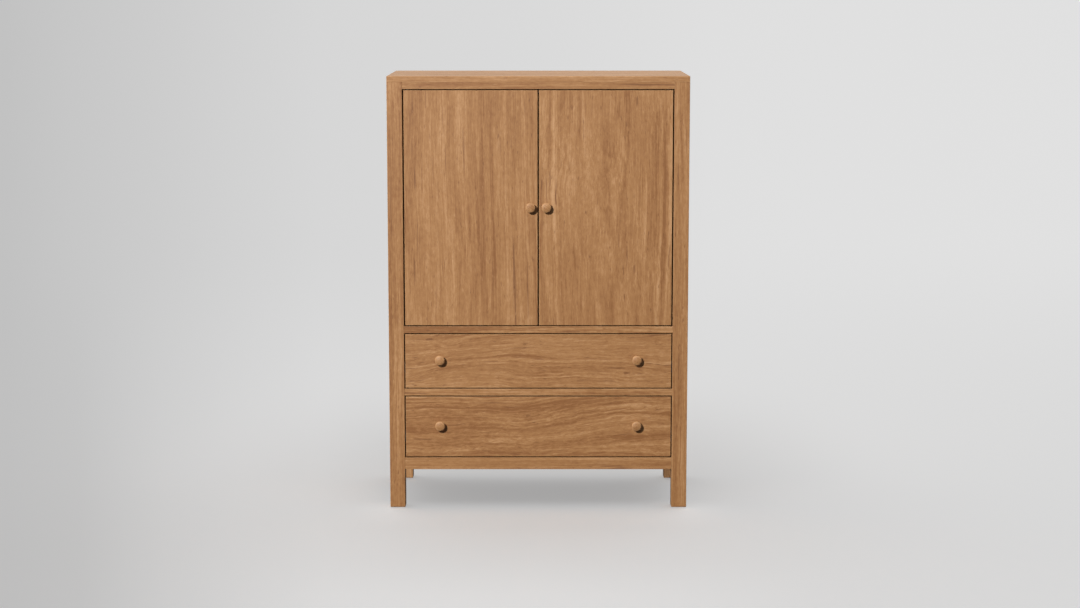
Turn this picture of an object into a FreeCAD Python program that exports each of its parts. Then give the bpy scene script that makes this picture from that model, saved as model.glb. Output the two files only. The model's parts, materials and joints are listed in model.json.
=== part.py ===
import FreeCAD, Part
import math
import os
import Sketcher
from FreeCAD import Placement, Rotation, Vector

# A free-standing TV armoire in solid wood: four square legs under a full-width top, two inset slab
# doors over a bay for a television, and two inset drawers on ball-bearing slides below them.
#
# The part's frame: +X to the right, +Y to the back, +Z up. The floor is z = 0, the middle of the
# width is x = 0, and y = 0 is midway between the knobs' faces and the back. Right-hand pieces are
# drawn, and their left-hand twins are mirrored from them. All sizes are millimetres.

SIZES = {
    # The case.
    "case_width": 1118,
    "case_depth": 559,
    "case_height": 1624,
    "leg_size": 57,
    "top_thickness": 22,
    "floor_clearance": 148,
    "leg_edge_radius": 2,
    "foot_chamfer": 1.5,
    "top_edge_radius": 1.5,
    "rail_edge_radius": 1.2,
    # The front rails and the openings between them.
    "bottom_rail_height": 45,
    "divider_rail_height": 26,
    "middle_rail_height": 26,
    "top_rail_height": 26,
    "lower_drawer_opening": 237,
    "upper_drawer_opening": 211,
    "rail_depth": 45,
    "bottom_rail_depth": 22,
    # Mortise and tenon joints, grooves and rebates.
    "tenon_length": 20,
    "tenon_shoulder": 4,
    "tenon_cheek": 5,
    "mortise_end_space": 1,
    "joint_clearance": 0.1,
    "groove_depth": 6,
    # The sides.
    "side_rail_thickness": 24,
    "side_top_rail_height": 46,
    "side_panel_thickness": 16,
    "side_panel_recess": 8,
    # The back.
    "rear_rail_thickness": 22,
    "rear_top_rail_height": 100,
    "rear_middle_rail_height": 60,
    "back_panel_thickness": 6,
    "back_rebate_width": 10,
    "wall_hole_spacing": 406.4,
    "wall_hole_diameter": 5.5,
    "wall_hole_drop": 40,
    "back_screw_offset": 350,
    # The inside.
    "cabinet_floor_thickness": 18,
    "bottom_panel_thickness": 6,
    "bottom_panel_lift": 12,
    "panel_play": 0.5,
    "shelf_thickness": 20,
    "shelf_play": 1.5,
    "shelf_pin_diameter": 5,
    "shelf_pin_reach": 8,
    "shelf_pin_inset": 60,
    "pin_row_start": 120,
    "pin_pitch": 32,
    "pin_row_count": 7,
    "shelf_step": 3,
    # The cable outlets in the upper back panel.
    "outlet_diameter": 60,
    "outlet_wall": 4,
    "outlet_flange_width": 5,
    "outlet_flange_thickness": 2,
    "outlet_height": 90,
    "outlet_offset": 240,
    # The doors and their pivots.
    "reveal": 4,
    "hinge_gap": 5,
    "meeting_gap": 5,
    "leaf_thickness": 20,
    "leaf_edge_radius": 1.2,
    "pivot_from_edge": 15,
    "pivot_from_face": 8,
    "pivot_pin_diameter": 6,
    "pivot_running_gap": 0.05,
    "pivot_pin_engagement": 10,
    "pivot_shoulder_diameter": 10,
    "pivot_axial_gap": 0.2,
    "pivot_plate_thickness": 3,
    "pivot_plate_width": 10,
    "pivot_plate_length": 54,
    "pivot_plate_overhang": 10,
    "pivot_screw_pitch": 18,
    "socket_diameter": 10,
    "socket_length": 14,
    # The door catch and its strikes.
    "catch_width": 48,
    "catch_height": 18,
    "catch_gap": 0.3,
    "catch_edge_radius": 2,
    "strike_thickness": 1,
    "strike_width": 18,
    "strike_height": 13,
    "strike_inset": 3,
    # The knobs.
    "knob_diameter": 37,
    "knob_projection": 26,
    "knob_neck_diameter": 21,
    "knob_neck_length": 8,
    "knob_flare": 5,
    "knob_crown": 3.5,
    "knob_rim_radius": 3.5,
    "knob_lift": 5,
    "door_knob_inset": 27,
    "drawer_knob_offset": 368.5,
    # The drawer boxes.
    "front_thickness": 20,
    "front_groove_depth": 8,
    "drawer_side_thickness": 12,
    "drawer_box_depth": 470,
    "drawer_clear_below": 18,
    "drawer_clear_above": 34,
    "drawer_back_inset": 6,
    "drawer_bottom_thickness": 6,
    "drawer_bottom_lift": 10,
    "drawer_groove_depth": 6,
    "drawer_screw_offset": 300,
    # The drawer slides.
    "slide_thickness": 12.7,
    "slide_height": 45,
    "slide_wall": 1.2,
    "slide_running_gap": 0.5,
    "slide_setback": 4,
    "slide_rear_space": 16,
    "slide_lift": 60,
    "slide_screw_inset": 18,
    "packer_height": 60,
    "packer_screw_inset": 40,
    # Fasteners, dowels and glides.
    "screw_head_diameter": 7,
    "screw_head_height": 2.2,
    "screw_shank_diameter": 3.5,
    "short_screw_length": 10,
    "screw_length": 16,
    "bolt_diameter": 4,
    "bolt_head_diameter": 9,
    "bolt_head_height": 2.4,
    "bolt_reach": 12,
    "dowel_diameter": 10,
    "dowel_in_leg": 22,
    "dowel_in_top": 14,
    "glide_diameter": 22,
    "glide_height": 2,
    "glide_nail_diameter": 3,
    "glide_nail_length": 14,
}

TOUCH = 1e-4
PART_DIRECTIONS = {
    "right": Vector(1, 0, 0),
    "left": Vector(-1, 0, 0),
    "forward": Vector(0, -1, 0),
    "backward": Vector(0, 1, 0),
    "up": Vector(0, 0, 1),
    "down": Vector(0, 0, -1),
}

doc = FreeCAD.newDocument("TvArmoire")
sub_parts = []


class Size:
    """A length, written as an expression of the sheet's cells."""

    def __init__(self, text):
        self.text = str(text)

    def __str__(self):
        return self.text

    def __add__(self, other):
        return Size(f"({self} + {other})")

    def __radd__(self, other):
        return Size(f"({other} + {self})")

    def __sub__(self, other):
        return Size(f"({self} - {other})")

    def __rsub__(self, other):
        return Size(f"({other} - {self})")

    def __mul__(self, other):
        return Size(f"({self} * {other})")

    def __truediv__(self, other):
        return Size(f"({self} / {other})")

    def __neg__(self):
        return Size(f"(-1 * {self})")


class Cells:
    """The sheet's cells by name: each attribute is the Size of the cell with that alias."""

    def __getattr__(self, name):
        if name not in SIZES:
            raise AttributeError(name)
        return Size(f"Sizes.{name}")


def fill_sheet():
    """Write every driving dimension into the sheet, one aliased cell each."""
    sheet = doc.addObject("Spreadsheet::Sheet", "Sizes")
    for row, (alias, millimetres) in enumerate(SIZES.items(), start=1):
        cell = f"A{row}"
        sheet.set(cell, str(millimetres))
        sheet.setAlias(cell, alias)
    doc.recompute()


fill_sheet()
c = Cells()

# Across the width.
HALF_WIDTH = c.case_width / 2
LEG_INNER = HALF_WIDTH - c.leg_size
SIDE_RAIL_INNER = HALF_WIDTH - c.side_rail_thickness
SIDE_PANEL_OUTER = HALF_WIDTH - c.side_panel_recess
SIDE_PANEL_INNER = SIDE_PANEL_OUTER - c.side_panel_thickness
LEAF_OUTER = LEG_INNER - c.hinge_gap
LEAF_INNER = c.meeting_gap / 2
DRAWER_FRONT_EDGE = LEG_INNER - c.reveal
PIVOT_X = LEAF_OUTER - c.pivot_from_edge
BOX_OUTER = LEG_INNER - c.slide_thickness
BOX_INNER = BOX_OUTER - c.drawer_side_thickness

# From front to back.
FRONT = (c.knob_projection - c.case_depth) / 2
BACK = FRONT + c.case_depth
FRONT_LEG_BACK = FRONT + c.leg_size
REAR_LEG_FRONT = BACK - c.leg_size
RAIL_BACK = FRONT + c.rail_depth
BACK_PANEL_FRONT = BACK - c.back_panel_thickness
REAR_RAIL_FRONT = BACK_PANEL_FRONT - c.rear_rail_thickness
LEAF_BACK = FRONT + c.leaf_thickness
PIVOT_Y = FRONT + c.pivot_from_face
DRAWER_FRONT_BACK = FRONT + c.front_thickness
BOX_BACK = DRAWER_FRONT_BACK + c.drawer_box_depth
SLIDE_FRONT = DRAWER_FRONT_BACK + c.slide_setback
SLIDE_LENGTH = c.drawer_box_depth - c.slide_setback - c.slide_rear_space

# Up from the floor.
LOWER_OPENING = c.floor_clearance + c.bottom_rail_height
DIVIDER_BOTTOM = LOWER_OPENING + c.lower_drawer_opening
UPPER_OPENING = DIVIDER_BOTTOM + c.divider_rail_height
MIDDLE_BOTTOM = UPPER_OPENING + c.upper_drawer_opening
DOOR_OPENING = MIDDLE_BOTTOM + c.middle_rail_height
LEG_TOP = c.case_height - c.top_thickness
TOP_RAIL_BOTTOM = LEG_TOP - c.top_rail_height
SIDE_TOP_RAIL_BOTTOM = LEG_TOP - c.side_top_rail_height
LEAF_BOTTOM = DOOR_OPENING + c.reveal
LEAF_TOP = TOP_RAIL_BOTTOM - c.reveal
SHELF_PIN_Z = DOOR_OPENING + c.pin_row_start + c.shelf_step * c.pin_pitch
SHELF_BOTTOM = SHELF_PIN_Z + c.shelf_pin_diameter / 2

RAIL_Z = {
    "bottom_front_rail": (c.floor_clearance, LOWER_OPENING),
    "divider_front_rail": (DIVIDER_BOTTOM, UPPER_OPENING),
    "middle_front_rail": (MIDDLE_BOTTOM, DOOR_OPENING),
    "top_front_rail": (TOP_RAIL_BOTTOM, LEG_TOP),
}
RAIL_Y = {
    "bottom_front_rail": (FRONT, FRONT + c.bottom_rail_depth),
    "divider_front_rail": (FRONT, RAIL_BACK),
    "middle_front_rail": (FRONT, RAIL_BACK),
    "top_front_rail": (FRONT, RAIL_BACK),
}
REAR_RAIL_Z = {
    "rear_top_rail": (LEG_TOP - c.rear_top_rail_height, LEG_TOP),
    "rear_middle_rail": (DOOR_OPENING - c.rear_middle_rail_height, DOOR_OPENING),
    "rear_bottom_rail": (c.floor_clearance, LOWER_OPENING),
}
REAR_RAIL_Y = (REAR_RAIL_FRONT, BACK_PANEL_FRONT)
SIDE_RAIL_Z = ((c.floor_clearance, LOWER_OPENING), (SIDE_TOP_RAIL_BOTTOM, LEG_TOP))
SIDE_RAIL_X = (SIDE_RAIL_INNER, HALF_WIDTH)
SIDE_PANEL_X = (SIDE_PANEL_INNER, SIDE_PANEL_OUTER)
SIDE_PANEL_Z = (LOWER_OPENING - c.groove_depth, SIDE_TOP_RAIL_BOTTOM + c.groove_depth)
CABINET_FLOOR_Z = (DOOR_OPENING - c.cabinet_floor_thickness, DOOR_OPENING)
BOTTOM_PANEL_LOW = c.floor_clearance + c.bottom_panel_lift
BOTTOM_PANEL_Z = (BOTTOM_PANEL_LOW, BOTTOM_PANEL_LOW + c.bottom_panel_thickness)
DRAWER_OPENINGS = {
    "lower": (LOWER_OPENING, DIVIDER_BOTTOM),
    "upper": (UPPER_OPENING, MIDDLE_BOTTOM),
}


def box_z(drawer):
    """The lower and upper edges of a drawer's box."""
    low, high = DRAWER_OPENINGS[drawer]
    return low + c.drawer_clear_below, high - c.drawer_clear_above


def slide_z(drawer):
    """The height of the middle of a drawer's slides."""
    return box_z(drawer)[0] + c.slide_lift


def grown(span, margin):
    """A (low, high) span with the margin added at both ends."""
    return span[0] - margin, span[1] + margin


def centred(middle, width):
    """The (low, high) span of a width about its middle."""
    return middle - width / 2, middle + width / 2


def bind(target, path, size):
    """Tie a property of an object to the sheet."""
    target.setExpression(path, str(size))


def new_body(label):
    body = doc.addObject("PartDesign::Body", label)
    body.Label = label
    return body


def origin_plane(body, role):
    """The body's own origin plane with that role."""
    return next(plane for plane in body.Origin.OriginFeatures if plane.Role == role)


def attach(feature, body, role):
    feature.AttachmentSupport = (origin_plane(body, role), [""])
    feature.MapMode = "FlatFace"


def outline_sketch(body, role, points, crown=None):
    """A closed outline on an origin plane; a corner's coordinate is a Size, or 0 on an axis.

    The side that starts at the corner numbered crown is an arc, centred on the upright axis.
    """
    sketch = body.newObject("Sketcher::SketchObject", "Outline")
    attach(sketch, body, role)
    corners = [Vector(start_value(u), start_value(v), 0) for u, v in points]
    count = len(points)
    for index in range(count):
        ends = corners[index], corners[(index + 1) % count]
        side = crown_arc(*ends) if index == crown else Part.LineSegment(*ends)
        sketch.addGeometry(side, False)
    for index in range(count):
        sketch.addConstraint(Sketcher.Constraint("Coincident", index, 2, (index + 1) % count, 1))
    for index, (u, v) in enumerate(points):
        fix_point(sketch, index, "DistanceX", u, -2)
        fix_point(sketch, index, "DistanceY", v, -1)
    if crown is not None:
        sketch.addConstraint(Sketcher.Constraint("PointOnObject", crown, 3, -2))
    return sketch


def crown_arc(start, end):
    """The arc from a rim point up to the upright axis, which it meets squarely."""
    rise = end.y - start.y
    radius = (start.x**2 + rise**2) / (2 * rise)
    centre = Vector(0, end.y - radius, 0)
    circle = Part.Circle(centre, Vector(0, 0, 1), radius)
    first = math.atan2(start.y - centre.y, start.x)
    return Part.ArcOfCircle(circle, first, math.pi / 2)


def start_value(size):
    """A coordinate's value, so that a sketch is drawn near its final shape."""
    if isinstance(size, Size):
        return float(doc.getObject("Sizes").evalExpression(str(size)))
    return float(size)


def fix_point(sketch, line, kind, size, axis):
    """Hold the start of a line on an axis (0), or at a bound distance from the origin."""
    if not isinstance(size, Size):
        sketch.addConstraint(Sketcher.Constraint("PointOnObject", line, 1, axis))
        return
    constraint = Sketcher.Constraint(kind, -1, 1, line, 1, start_value(size))
    name = f"{kind}{line}"
    index = sketch.addConstraint(constraint)
    sketch.renameConstraint(index, name)
    bind(sketch, f"Constraints.{name}", size)


def picked_edges(feature, wanted):
    """The names of a feature's edges that the test accepts."""
    doc.recompute()
    edges = enumerate(feature.Shape.Edges, start=1)
    return [f"Edge{number}" for number, edge in edges if wanted(edge)]


def vertical(edge):
    return edge.BoundBox.ZLength > TOUCH and edge.BoundBox.XLength + edge.BoundBox.YLength < TOUCH


def on_front_face(edge):
    return edge.BoundBox.YMax < TOUCH


def on_front_and_level(edge):
    return on_front_face(edge) and edge.BoundBox.ZLength < TOUCH


def on_underside(edge):
    return edge.BoundBox.ZMax < TOUCH


def any_edge(edge):
    return True


class Board:
    """A body padded up from a rectangle, then rounded, cut and drilled in the part's frame."""

    def __init__(self, label, x, y, z):
        self.body = new_body(label)
        self.corner = (x[0], y[0], z[0])
        for axis, low in zip("xyz", self.corner):
            bind(self.body, f".Placement.Base.{axis}", low)
        width = x[1] - x[0]
        depth = y[1] - y[0]
        sketch = outline_sketch(self.body, "XY_Plane", [(0, 0), (width, 0), (width, depth), (0, depth)])
        self.tip = self.body.newObject("PartDesign::Pad", "Thickness")
        self.tip.Profile = sketch
        bind(self.tip, "Length", z[1] - z[0])

    def _box(self, kind, x, y, z):
        box = self.body.newObject(f"PartDesign::{kind}", kind)
        attach(box, self.body, "XY_Plane")
        for axis, edge, span, low in zip("xyz", ("Length", "Width", "Height"), (x, y, z), self.corner):
            bind(box, f".AttachmentOffset.Base.{axis}", span[0] - low)
            bind(box, edge, span[1] - span[0])
        self.tip = box

    def add(self, x, y, z):
        self._box("AdditiveBox", x, y, z)

    def cut(self, x, y, z):
        self._box("SubtractiveBox", x, y, z)

    def _cylinder(self, kind, role, offset, diameter, length):
        cylinder = self.body.newObject(f"PartDesign::{kind}", kind)
        attach(cylinder, self.body, role)
        for axis, distance in zip("xyz", offset):
            bind(cylinder, f".AttachmentOffset.Base.{axis}", distance)
        bind(cylinder, "Radius", diameter / 2)
        bind(cylinder, "Height", length)
        self.tip = cylinder
        return cylinder

    def add_pin(self, x, y, z, diameter):
        """An upright round pin over the z span."""
        offset = (x - self.corner[0], y - self.corner[1], z[0] - self.corner[2])
        return self._cylinder("AdditiveCylinder", "XY_Plane", offset, diameter, z[1] - z[0])

    def bore_up(self, x, y, z, diameter):
        """An upright round hole over the z span."""
        offset = (x - self.corner[0], y - self.corner[1], z[0] - self.corner[2])
        return self._cylinder("SubtractiveCylinder", "XY_Plane", offset, diameter, z[1] - z[0])

    def bore_back(self, x, y, z, diameter):
        """A round hole from front to back over the y span."""
        offset = (x - self.corner[0], z - self.corner[2], self.corner[1] - y[1])
        return self._cylinder("SubtractiveCylinder", "XZ_Plane", offset, diameter, y[1] - y[0])

    def bore_across(self, x, y, z, diameter):
        """A round hole from left to right over the x span."""
        offset = (y - self.corner[1], z - self.corner[2], x[0] - self.corner[0])
        return self._cylinder("SubtractiveCylinder", "YZ_Plane", offset, diameter, x[1] - x[0])

    def repeat(self, feature, role, pitch, count):
        """Repeat a feature along an axis of the body's origin."""
        pattern = self.body.newObject("PartDesign::LinearPattern", "Row")
        pattern.Originals = [feature]
        pattern.Direction = (origin_plane(self.body, role), [""])
        bind(pattern, "Length", pitch * (count - 1))
        bind(pattern, "Occurrences", count)
        self.body.Tip = pattern
        self.tip = pattern

    def round_over(self, radius, wanted):
        """Fillet the edges that the test accepts."""
        fillet = self.body.newObject("PartDesign::Fillet", "Rounding")
        fillet.Base = (self.tip, picked_edges(self.tip, wanted))
        bind(fillet, "Radius", radius)
        self.tip = fillet

    def chamfer(self, size, wanted):
        """Chamfer the edges that the test accepts."""
        chamfer = self.body.newObject("PartDesign::Chamfer", "Chamfer")
        chamfer.Base = (self.tip, picked_edges(self.tip, wanted))
        bind(chamfer, "Size", size)
        self.tip = chamfer


def turned(label, points, crown=None):
    """A body revolved about its own Z axis from an outline of (radius, height) points."""
    body = new_body(label)
    sketch = outline_sketch(body, "XZ_Plane", points, crown)
    revolution = body.newObject("PartDesign::Revolution", "Turning")
    revolution.Profile = sketch
    revolution.ReferenceAxis = (sketch, ["V_Axis"])
    revolution.Angle = 360
    return body


def placed(source, direction, x, y, z):
    """A copy of a turned body whose own Z axis points in the given direction of the part."""
    link = doc.addObject("App::Link", f"{source.Name}_copy")
    link.LinkedObject = source
    rotation = Rotation(Vector(0, 0, 1), PART_DIRECTIONS[direction])
    link.Placement = Placement(Vector(), rotation)
    for axis, position in zip("xyz", (x, y, z)):
        bind(link, f".Placement.Base.{axis}", position)
    return link


def group(label, members):
    """Separate solids that share one node."""
    compound = doc.addObject("Part::Compound", label)
    compound.Links = members
    compound.Label = label
    return compound


def mirrored(source, label):
    """The left-hand twin of a right-hand piece."""
    mirror = doc.addObject("Part::Mirroring", label)
    mirror.Source = source
    mirror.Normal = Vector(1, 0, 0)
    mirror.Label = label
    return mirror


def drilled(source, fasteners, label):
    """A piece with the seats and pilot holes of its fasteners cut out."""
    cut = doc.addObject("Part::Cut", label)
    cut.Base = source
    cut.Tool = fasteners
    cut.Label = label
    return cut


def keep(piece):
    """Hand a finished piece in as a sub-part, under its label."""
    sub_parts.append(piece)


def keep_pair(left_label, right_piece):
    """Hand in a right-hand piece, and its mirrored twin under a label of its own."""
    keep(right_piece)
    keep(mirrored(right_piece, left_label))


# ---- Fasteners -------------------------------------------------------------------------------


def countersunk_screw(label, length):
    """A wood screw, its flat head at its own z = 0 and its shank pointing up."""
    head = c.screw_head_diameter / 2
    shank = c.screw_shank_diameter / 2
    point = length - c.screw_shank_diameter
    outline = [(0, 0), (head, 0), (shank, c.screw_head_height), (shank, point), (0, length)]
    return turned(label, outline)


def knob_bolt(label, wood_thickness):
    """The pan-headed bolt that holds a knob: its head is at z = 0 and its shank points up."""
    head = c.bolt_head_diameter / 2
    shank = c.bolt_diameter / 2
    seat = c.bolt_head_height
    end = seat + wood_thickness + c.bolt_reach
    return turned(label, [(0, 0), (head, 0), (head, seat), (shank, seat), (shank, end), (0, end)])


def leg_dowel():
    radius = c.dowel_diameter / 2
    length = c.dowel_in_leg + c.dowel_in_top
    return turned("dowel", [(0, 0), (radius, 0), (radius, length), (0, length)])


def glide():
    """A nail-on glide: its sole is z = 0 and its nail points up."""
    sole = c.glide_diameter / 2
    nail = c.glide_nail_diameter / 2
    top = c.glide_height + c.glide_nail_length
    height = c.glide_height
    return turned("glide", [(0, 0), (sole, 0), (sole, height), (nail, height), (nail, top), (0, top)])


long_screw = countersunk_screw("long_screw", c.screw_length)
short_screw = countersunk_screw("short_screw", c.short_screw_length)
door_bolt = knob_bolt("door_bolt", c.leaf_thickness)
drawer_bolt = knob_bolt("drawer_bolt", c.front_thickness)
dowel = leg_dowel()
foot_glide = glide()


def slide_screw_stations():
    """The places along a slide where a screw holds it."""
    first = SLIDE_FRONT + c.slide_screw_inset
    last = SLIDE_FRONT + SLIDE_LENGTH - c.slide_screw_inset
    return first, (first + last) / 2, last


def packer_screw_stations():
    return FRONT_LEG_BACK + c.packer_screw_inset, REAR_LEG_FRONT - c.packer_screw_inset


def back_screw_rows():
    """The heights of the screws that hold the back panels to the rear rails."""
    middle_low, middle_high = REAR_RAIL_Z["rear_middle_rail"]
    seam = (middle_low + middle_high) / 2
    quarter = c.rear_middle_rail_height / 4
    bottom_low, bottom_high = REAR_RAIL_Z["rear_bottom_rail"]
    top_low, top_high = REAR_RAIL_Z["rear_top_rail"]
    return (bottom_low + bottom_high) / 2, seam - quarter, seam + quarter, (top_low + top_high) / 2


def back_screw_heights_on_leg():
    """The heights of the screws that hold the back panels to the rear legs."""
    bottom, below_seam, above_seam, top = back_screw_rows()
    third = (top - above_seam) / 3
    return (bottom + below_seam) / 2, above_seam + third, above_seam + third * 2


def pivot_screw_positions():
    first = PIVOT_X - c.pivot_screw_pitch
    return first, first - c.pivot_screw_pitch


def right_case_screws():
    """Every screw on the right half of the case."""
    screws = []
    for drawer in DRAWER_OPENINGS:
        height = slide_z(drawer)
        for station in slide_screw_stations():
            head = LEG_INNER - c.slide_wall
            screws.append(placed(long_screw, "right", head, station, height))
        for station in packer_screw_stations():
            above_slide = height + (c.slide_height + c.packer_height) / 4
            screws.append(placed(packer_screw, "right", LEG_INNER, station, above_slide))
    for height in back_screw_rows():
        screws.append(placed(long_screw, "forward", c.back_screw_offset, BACK, height))
    for height in back_screw_heights_on_leg():
        screws.append(placed(long_screw, "forward", LEG_INNER + c.back_rebate_width / 2, BACK, height))
    for position in pivot_screw_positions():
        screws.append(placed(long_screw, "down", position, PIVOT_Y, DOOR_OPENING))
        screws.append(placed(long_screw, "up", position, PIVOT_Y, TOP_RAIL_BOTTOM))
    catch_y = (LEAF_BACK + RAIL_BACK) / 2
    catch_bottom = TOP_RAIL_BOTTOM - c.catch_height
    screws.append(placed(catch_screw, "up", c.catch_width / 4, catch_y, catch_bottom))
    return group("right_case_screws", screws)


packer_screw = countersunk_screw("packer_screw", SIDE_PANEL_INNER - LEG_INNER + c.short_screw_length)
catch_screw = countersunk_screw("catch_screw", c.catch_height + c.short_screw_length)
right_screws = right_case_screws()
left_screws = mirrored(right_screws, "left_case_screws")
middle_screws = group(
    "middle_case_screws",
    [placed(long_screw, "forward", 0, BACK, height) for height in back_screw_rows()],
)
case_screws = group("case_screws", [right_screws, left_screws, middle_screws])
keep(case_screws)

LEG_MIDDLE_X = HALF_WIDTH - c.leg_size / 2
LEG_MIDDLE_Y = (FRONT + c.leg_size / 2, BACK - c.leg_size / 2)
DOWEL_BOTTOM = LEG_TOP - c.dowel_in_leg
right_glides = group(
    "right_glides",
    [placed(foot_glide, "up", LEG_MIDDLE_X, y, 0) for y in LEG_MIDDLE_Y],
)
right_dowels = group(
    "right_dowels",
    [placed(dowel, "up", LEG_MIDDLE_X, y, DOWEL_BOTTOM) for y in LEG_MIDDLE_Y],
)
leg_glides = group("leg_glides", [right_glides, mirrored(right_glides, "left_glides")])
top_dowels = group("top_dowels", [right_dowels, mirrored(right_dowels, "left_dowels")])
keep(leg_glides)
keep(top_dowels)
right_fasteners = group("right_fasteners", [right_screws, right_glides, right_dowels])


# ---- The case --------------------------------------------------------------------------------


def tenon(y, z):
    """The cross-section of a rail's tenon."""
    return grown(y, -c.tenon_cheek), grown(z, -c.tenon_shoulder)


def cut_rail_mortise(leg, y, z):
    """A mortise in a leg's inner face for the tenon of a rail that runs across."""
    tenon_y, tenon_z = tenon(y, z)
    reach = c.tenon_length + c.mortise_end_space
    x = (LEG_INNER, LEG_INNER + reach)
    leg.cut(x, grown(tenon_y, c.joint_clearance), grown(tenon_z, c.joint_clearance))


def cut_side_joints(leg, tenon_y, groove_y):
    """The mortises and the groove for the side's rails and panel."""
    for z in SIDE_RAIL_Z:
        tenon_x, tenon_z = tenon(SIDE_RAIL_X, z)
        leg.cut(grown(tenon_x, c.joint_clearance), tenon_y, grown(tenon_z, c.joint_clearance))
    leg.cut(grown(SIDE_PANEL_X, c.joint_clearance), groove_y, grown(SIDE_PANEL_Z, c.joint_clearance))


def leg_blank(label, y):
    leg = Board(label, (LEG_INNER, HALF_WIDTH), y, (c.glide_height, LEG_TOP))
    leg.round_over(c.leg_edge_radius, vertical)
    leg.chamfer(c.foot_chamfer, on_underside)
    return leg


def front_legs():
    leg = leg_blank("right_front_leg_blank", (FRONT, FRONT_LEG_BACK))
    for name, z in RAIL_Z.items():
        cut_rail_mortise(leg, RAIL_Y[name], z)
    reach = c.tenon_length + c.mortise_end_space
    tenon_y = (FRONT_LEG_BACK - reach, FRONT_LEG_BACK)
    groove_y = (FRONT_LEG_BACK - c.groove_depth - c.panel_play, FRONT_LEG_BACK)
    cut_side_joints(leg, tenon_y, groove_y)
    keep_pair("front_left_leg", drilled(leg.body, right_fasteners, "front_right_leg"))


def rear_legs():
    leg = leg_blank("right_rear_leg_blank", (REAR_LEG_FRONT, BACK))
    for z in REAR_RAIL_Z.values():
        cut_rail_mortise(leg, REAR_RAIL_Y, z)
    reach = c.tenon_length + c.mortise_end_space
    tenon_y = (REAR_LEG_FRONT, REAR_LEG_FRONT + reach)
    groove_y = (REAR_LEG_FRONT, REAR_LEG_FRONT + c.groove_depth + c.panel_play)
    cut_side_joints(leg, tenon_y, groove_y)
    rebate_x = (LEG_INNER, LEG_INNER + c.back_rebate_width)
    leg.cut(rebate_x, (BACK_PANEL_FRONT, BACK), (c.floor_clearance, LEG_TOP))
    keep_pair("rear_left_leg", drilled(leg.body, right_fasteners, "rear_right_leg"))


def cross_rail(label, y, z):
    """A rail between two legs, with a tenon at each end."""
    rail = Board(label, (-LEG_INNER, LEG_INNER), y, z)
    tenon_y, tenon_z = tenon(y, z)
    rail.add(grown((-LEG_INNER, LEG_INNER), c.tenon_length), tenon_y, tenon_z)
    return rail


def cut_pivot_seat(rail, z):
    """The shallow seat in a rail for the pivot plates at its two ends."""
    x, y = pivot_plate_outline()
    rail.cut(x, y, z)
    rail.cut((-x[1], -x[0]), y, z)


def front_rails():
    rails = {name: cross_rail(f"{name}_blank", RAIL_Y[name], z) for name, z in RAIL_Z.items()}
    for rail in rails.values():
        rail.round_over(c.rail_edge_radius, on_front_and_level)
    depth = c.pivot_plate_thickness
    cut_pivot_seat(rails["middle_front_rail"], (DOOR_OPENING - depth, DOOR_OPENING))
    cut_pivot_seat(rails["top_front_rail"], (TOP_RAIL_BOTTOM, TOP_RAIL_BOTTOM + depth))
    bottom_rail_back = RAIL_Y["bottom_front_rail"][1]
    groove_y = (bottom_rail_back - c.groove_depth - c.panel_play, bottom_rail_back)
    groove_z = grown(BOTTOM_PANEL_Z, c.joint_clearance)
    rails["bottom_front_rail"].cut((-LEG_INNER, LEG_INNER), groove_y, groove_z)
    for name, rail in rails.items():
        keep(drilled(rail.body, case_screws, name))


def rear_rails():
    rails = {name: cross_rail(f"{name}_blank", REAR_RAIL_Y, z) for name, z in REAR_RAIL_Z.items()}
    groove_y = (REAR_RAIL_FRONT, REAR_RAIL_FRONT + c.groove_depth + c.panel_play)
    groove_z = grown(BOTTOM_PANEL_Z, c.joint_clearance)
    rails["rear_bottom_rail"].cut((-LEG_INNER, LEG_INNER), groove_y, groove_z)
    bore_wall_holes(rails["rear_top_rail"], REAR_RAIL_Y)
    for name, rail in rails.items():
        keep(drilled(rail.body, case_screws, name))


def bore_wall_holes(board, y):
    """The two holes for the screws that tie the armoire to a wall."""
    for side in (-1, 1):
        x = c.wall_hole_spacing * side / 2
        board.bore_back(x, y, LEG_TOP - c.wall_hole_drop, c.wall_hole_diameter)


def side_rails():
    """The two rails of a side, flush with the outer faces of the legs."""
    bodies = []
    for name, z in zip(("bottom", "top"), SIDE_RAIL_Z):
        rail = Board(f"right_{name}_side_rail", SIDE_RAIL_X, (FRONT_LEG_BACK, REAR_LEG_FRONT), z)
        tenon_x, tenon_z = tenon(SIDE_RAIL_X, z)
        rail.add(tenon_x, grown((FRONT_LEG_BACK, REAR_LEG_FRONT), c.tenon_length), tenon_z)
        groove_x = grown(SIDE_PANEL_X, c.joint_clearance)
        groove_y = grown((FRONT_LEG_BACK, REAR_LEG_FRONT), c.groove_depth + c.panel_play)
        rail.cut(groove_x, groove_y, grown(SIDE_PANEL_Z, c.joint_clearance))
        if name == "bottom":
            panel_x = (SIDE_RAIL_INNER, SIDE_RAIL_INNER + c.groove_depth + c.panel_play)
            panel_z = grown(BOTTOM_PANEL_Z, c.joint_clearance)
            rail.cut(panel_x, (FRONT_LEG_BACK, REAR_LEG_FRONT), panel_z)
        bodies.append(rail.body)
    keep_pair("left_side_rails", group("right_side_rails", bodies))


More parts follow.
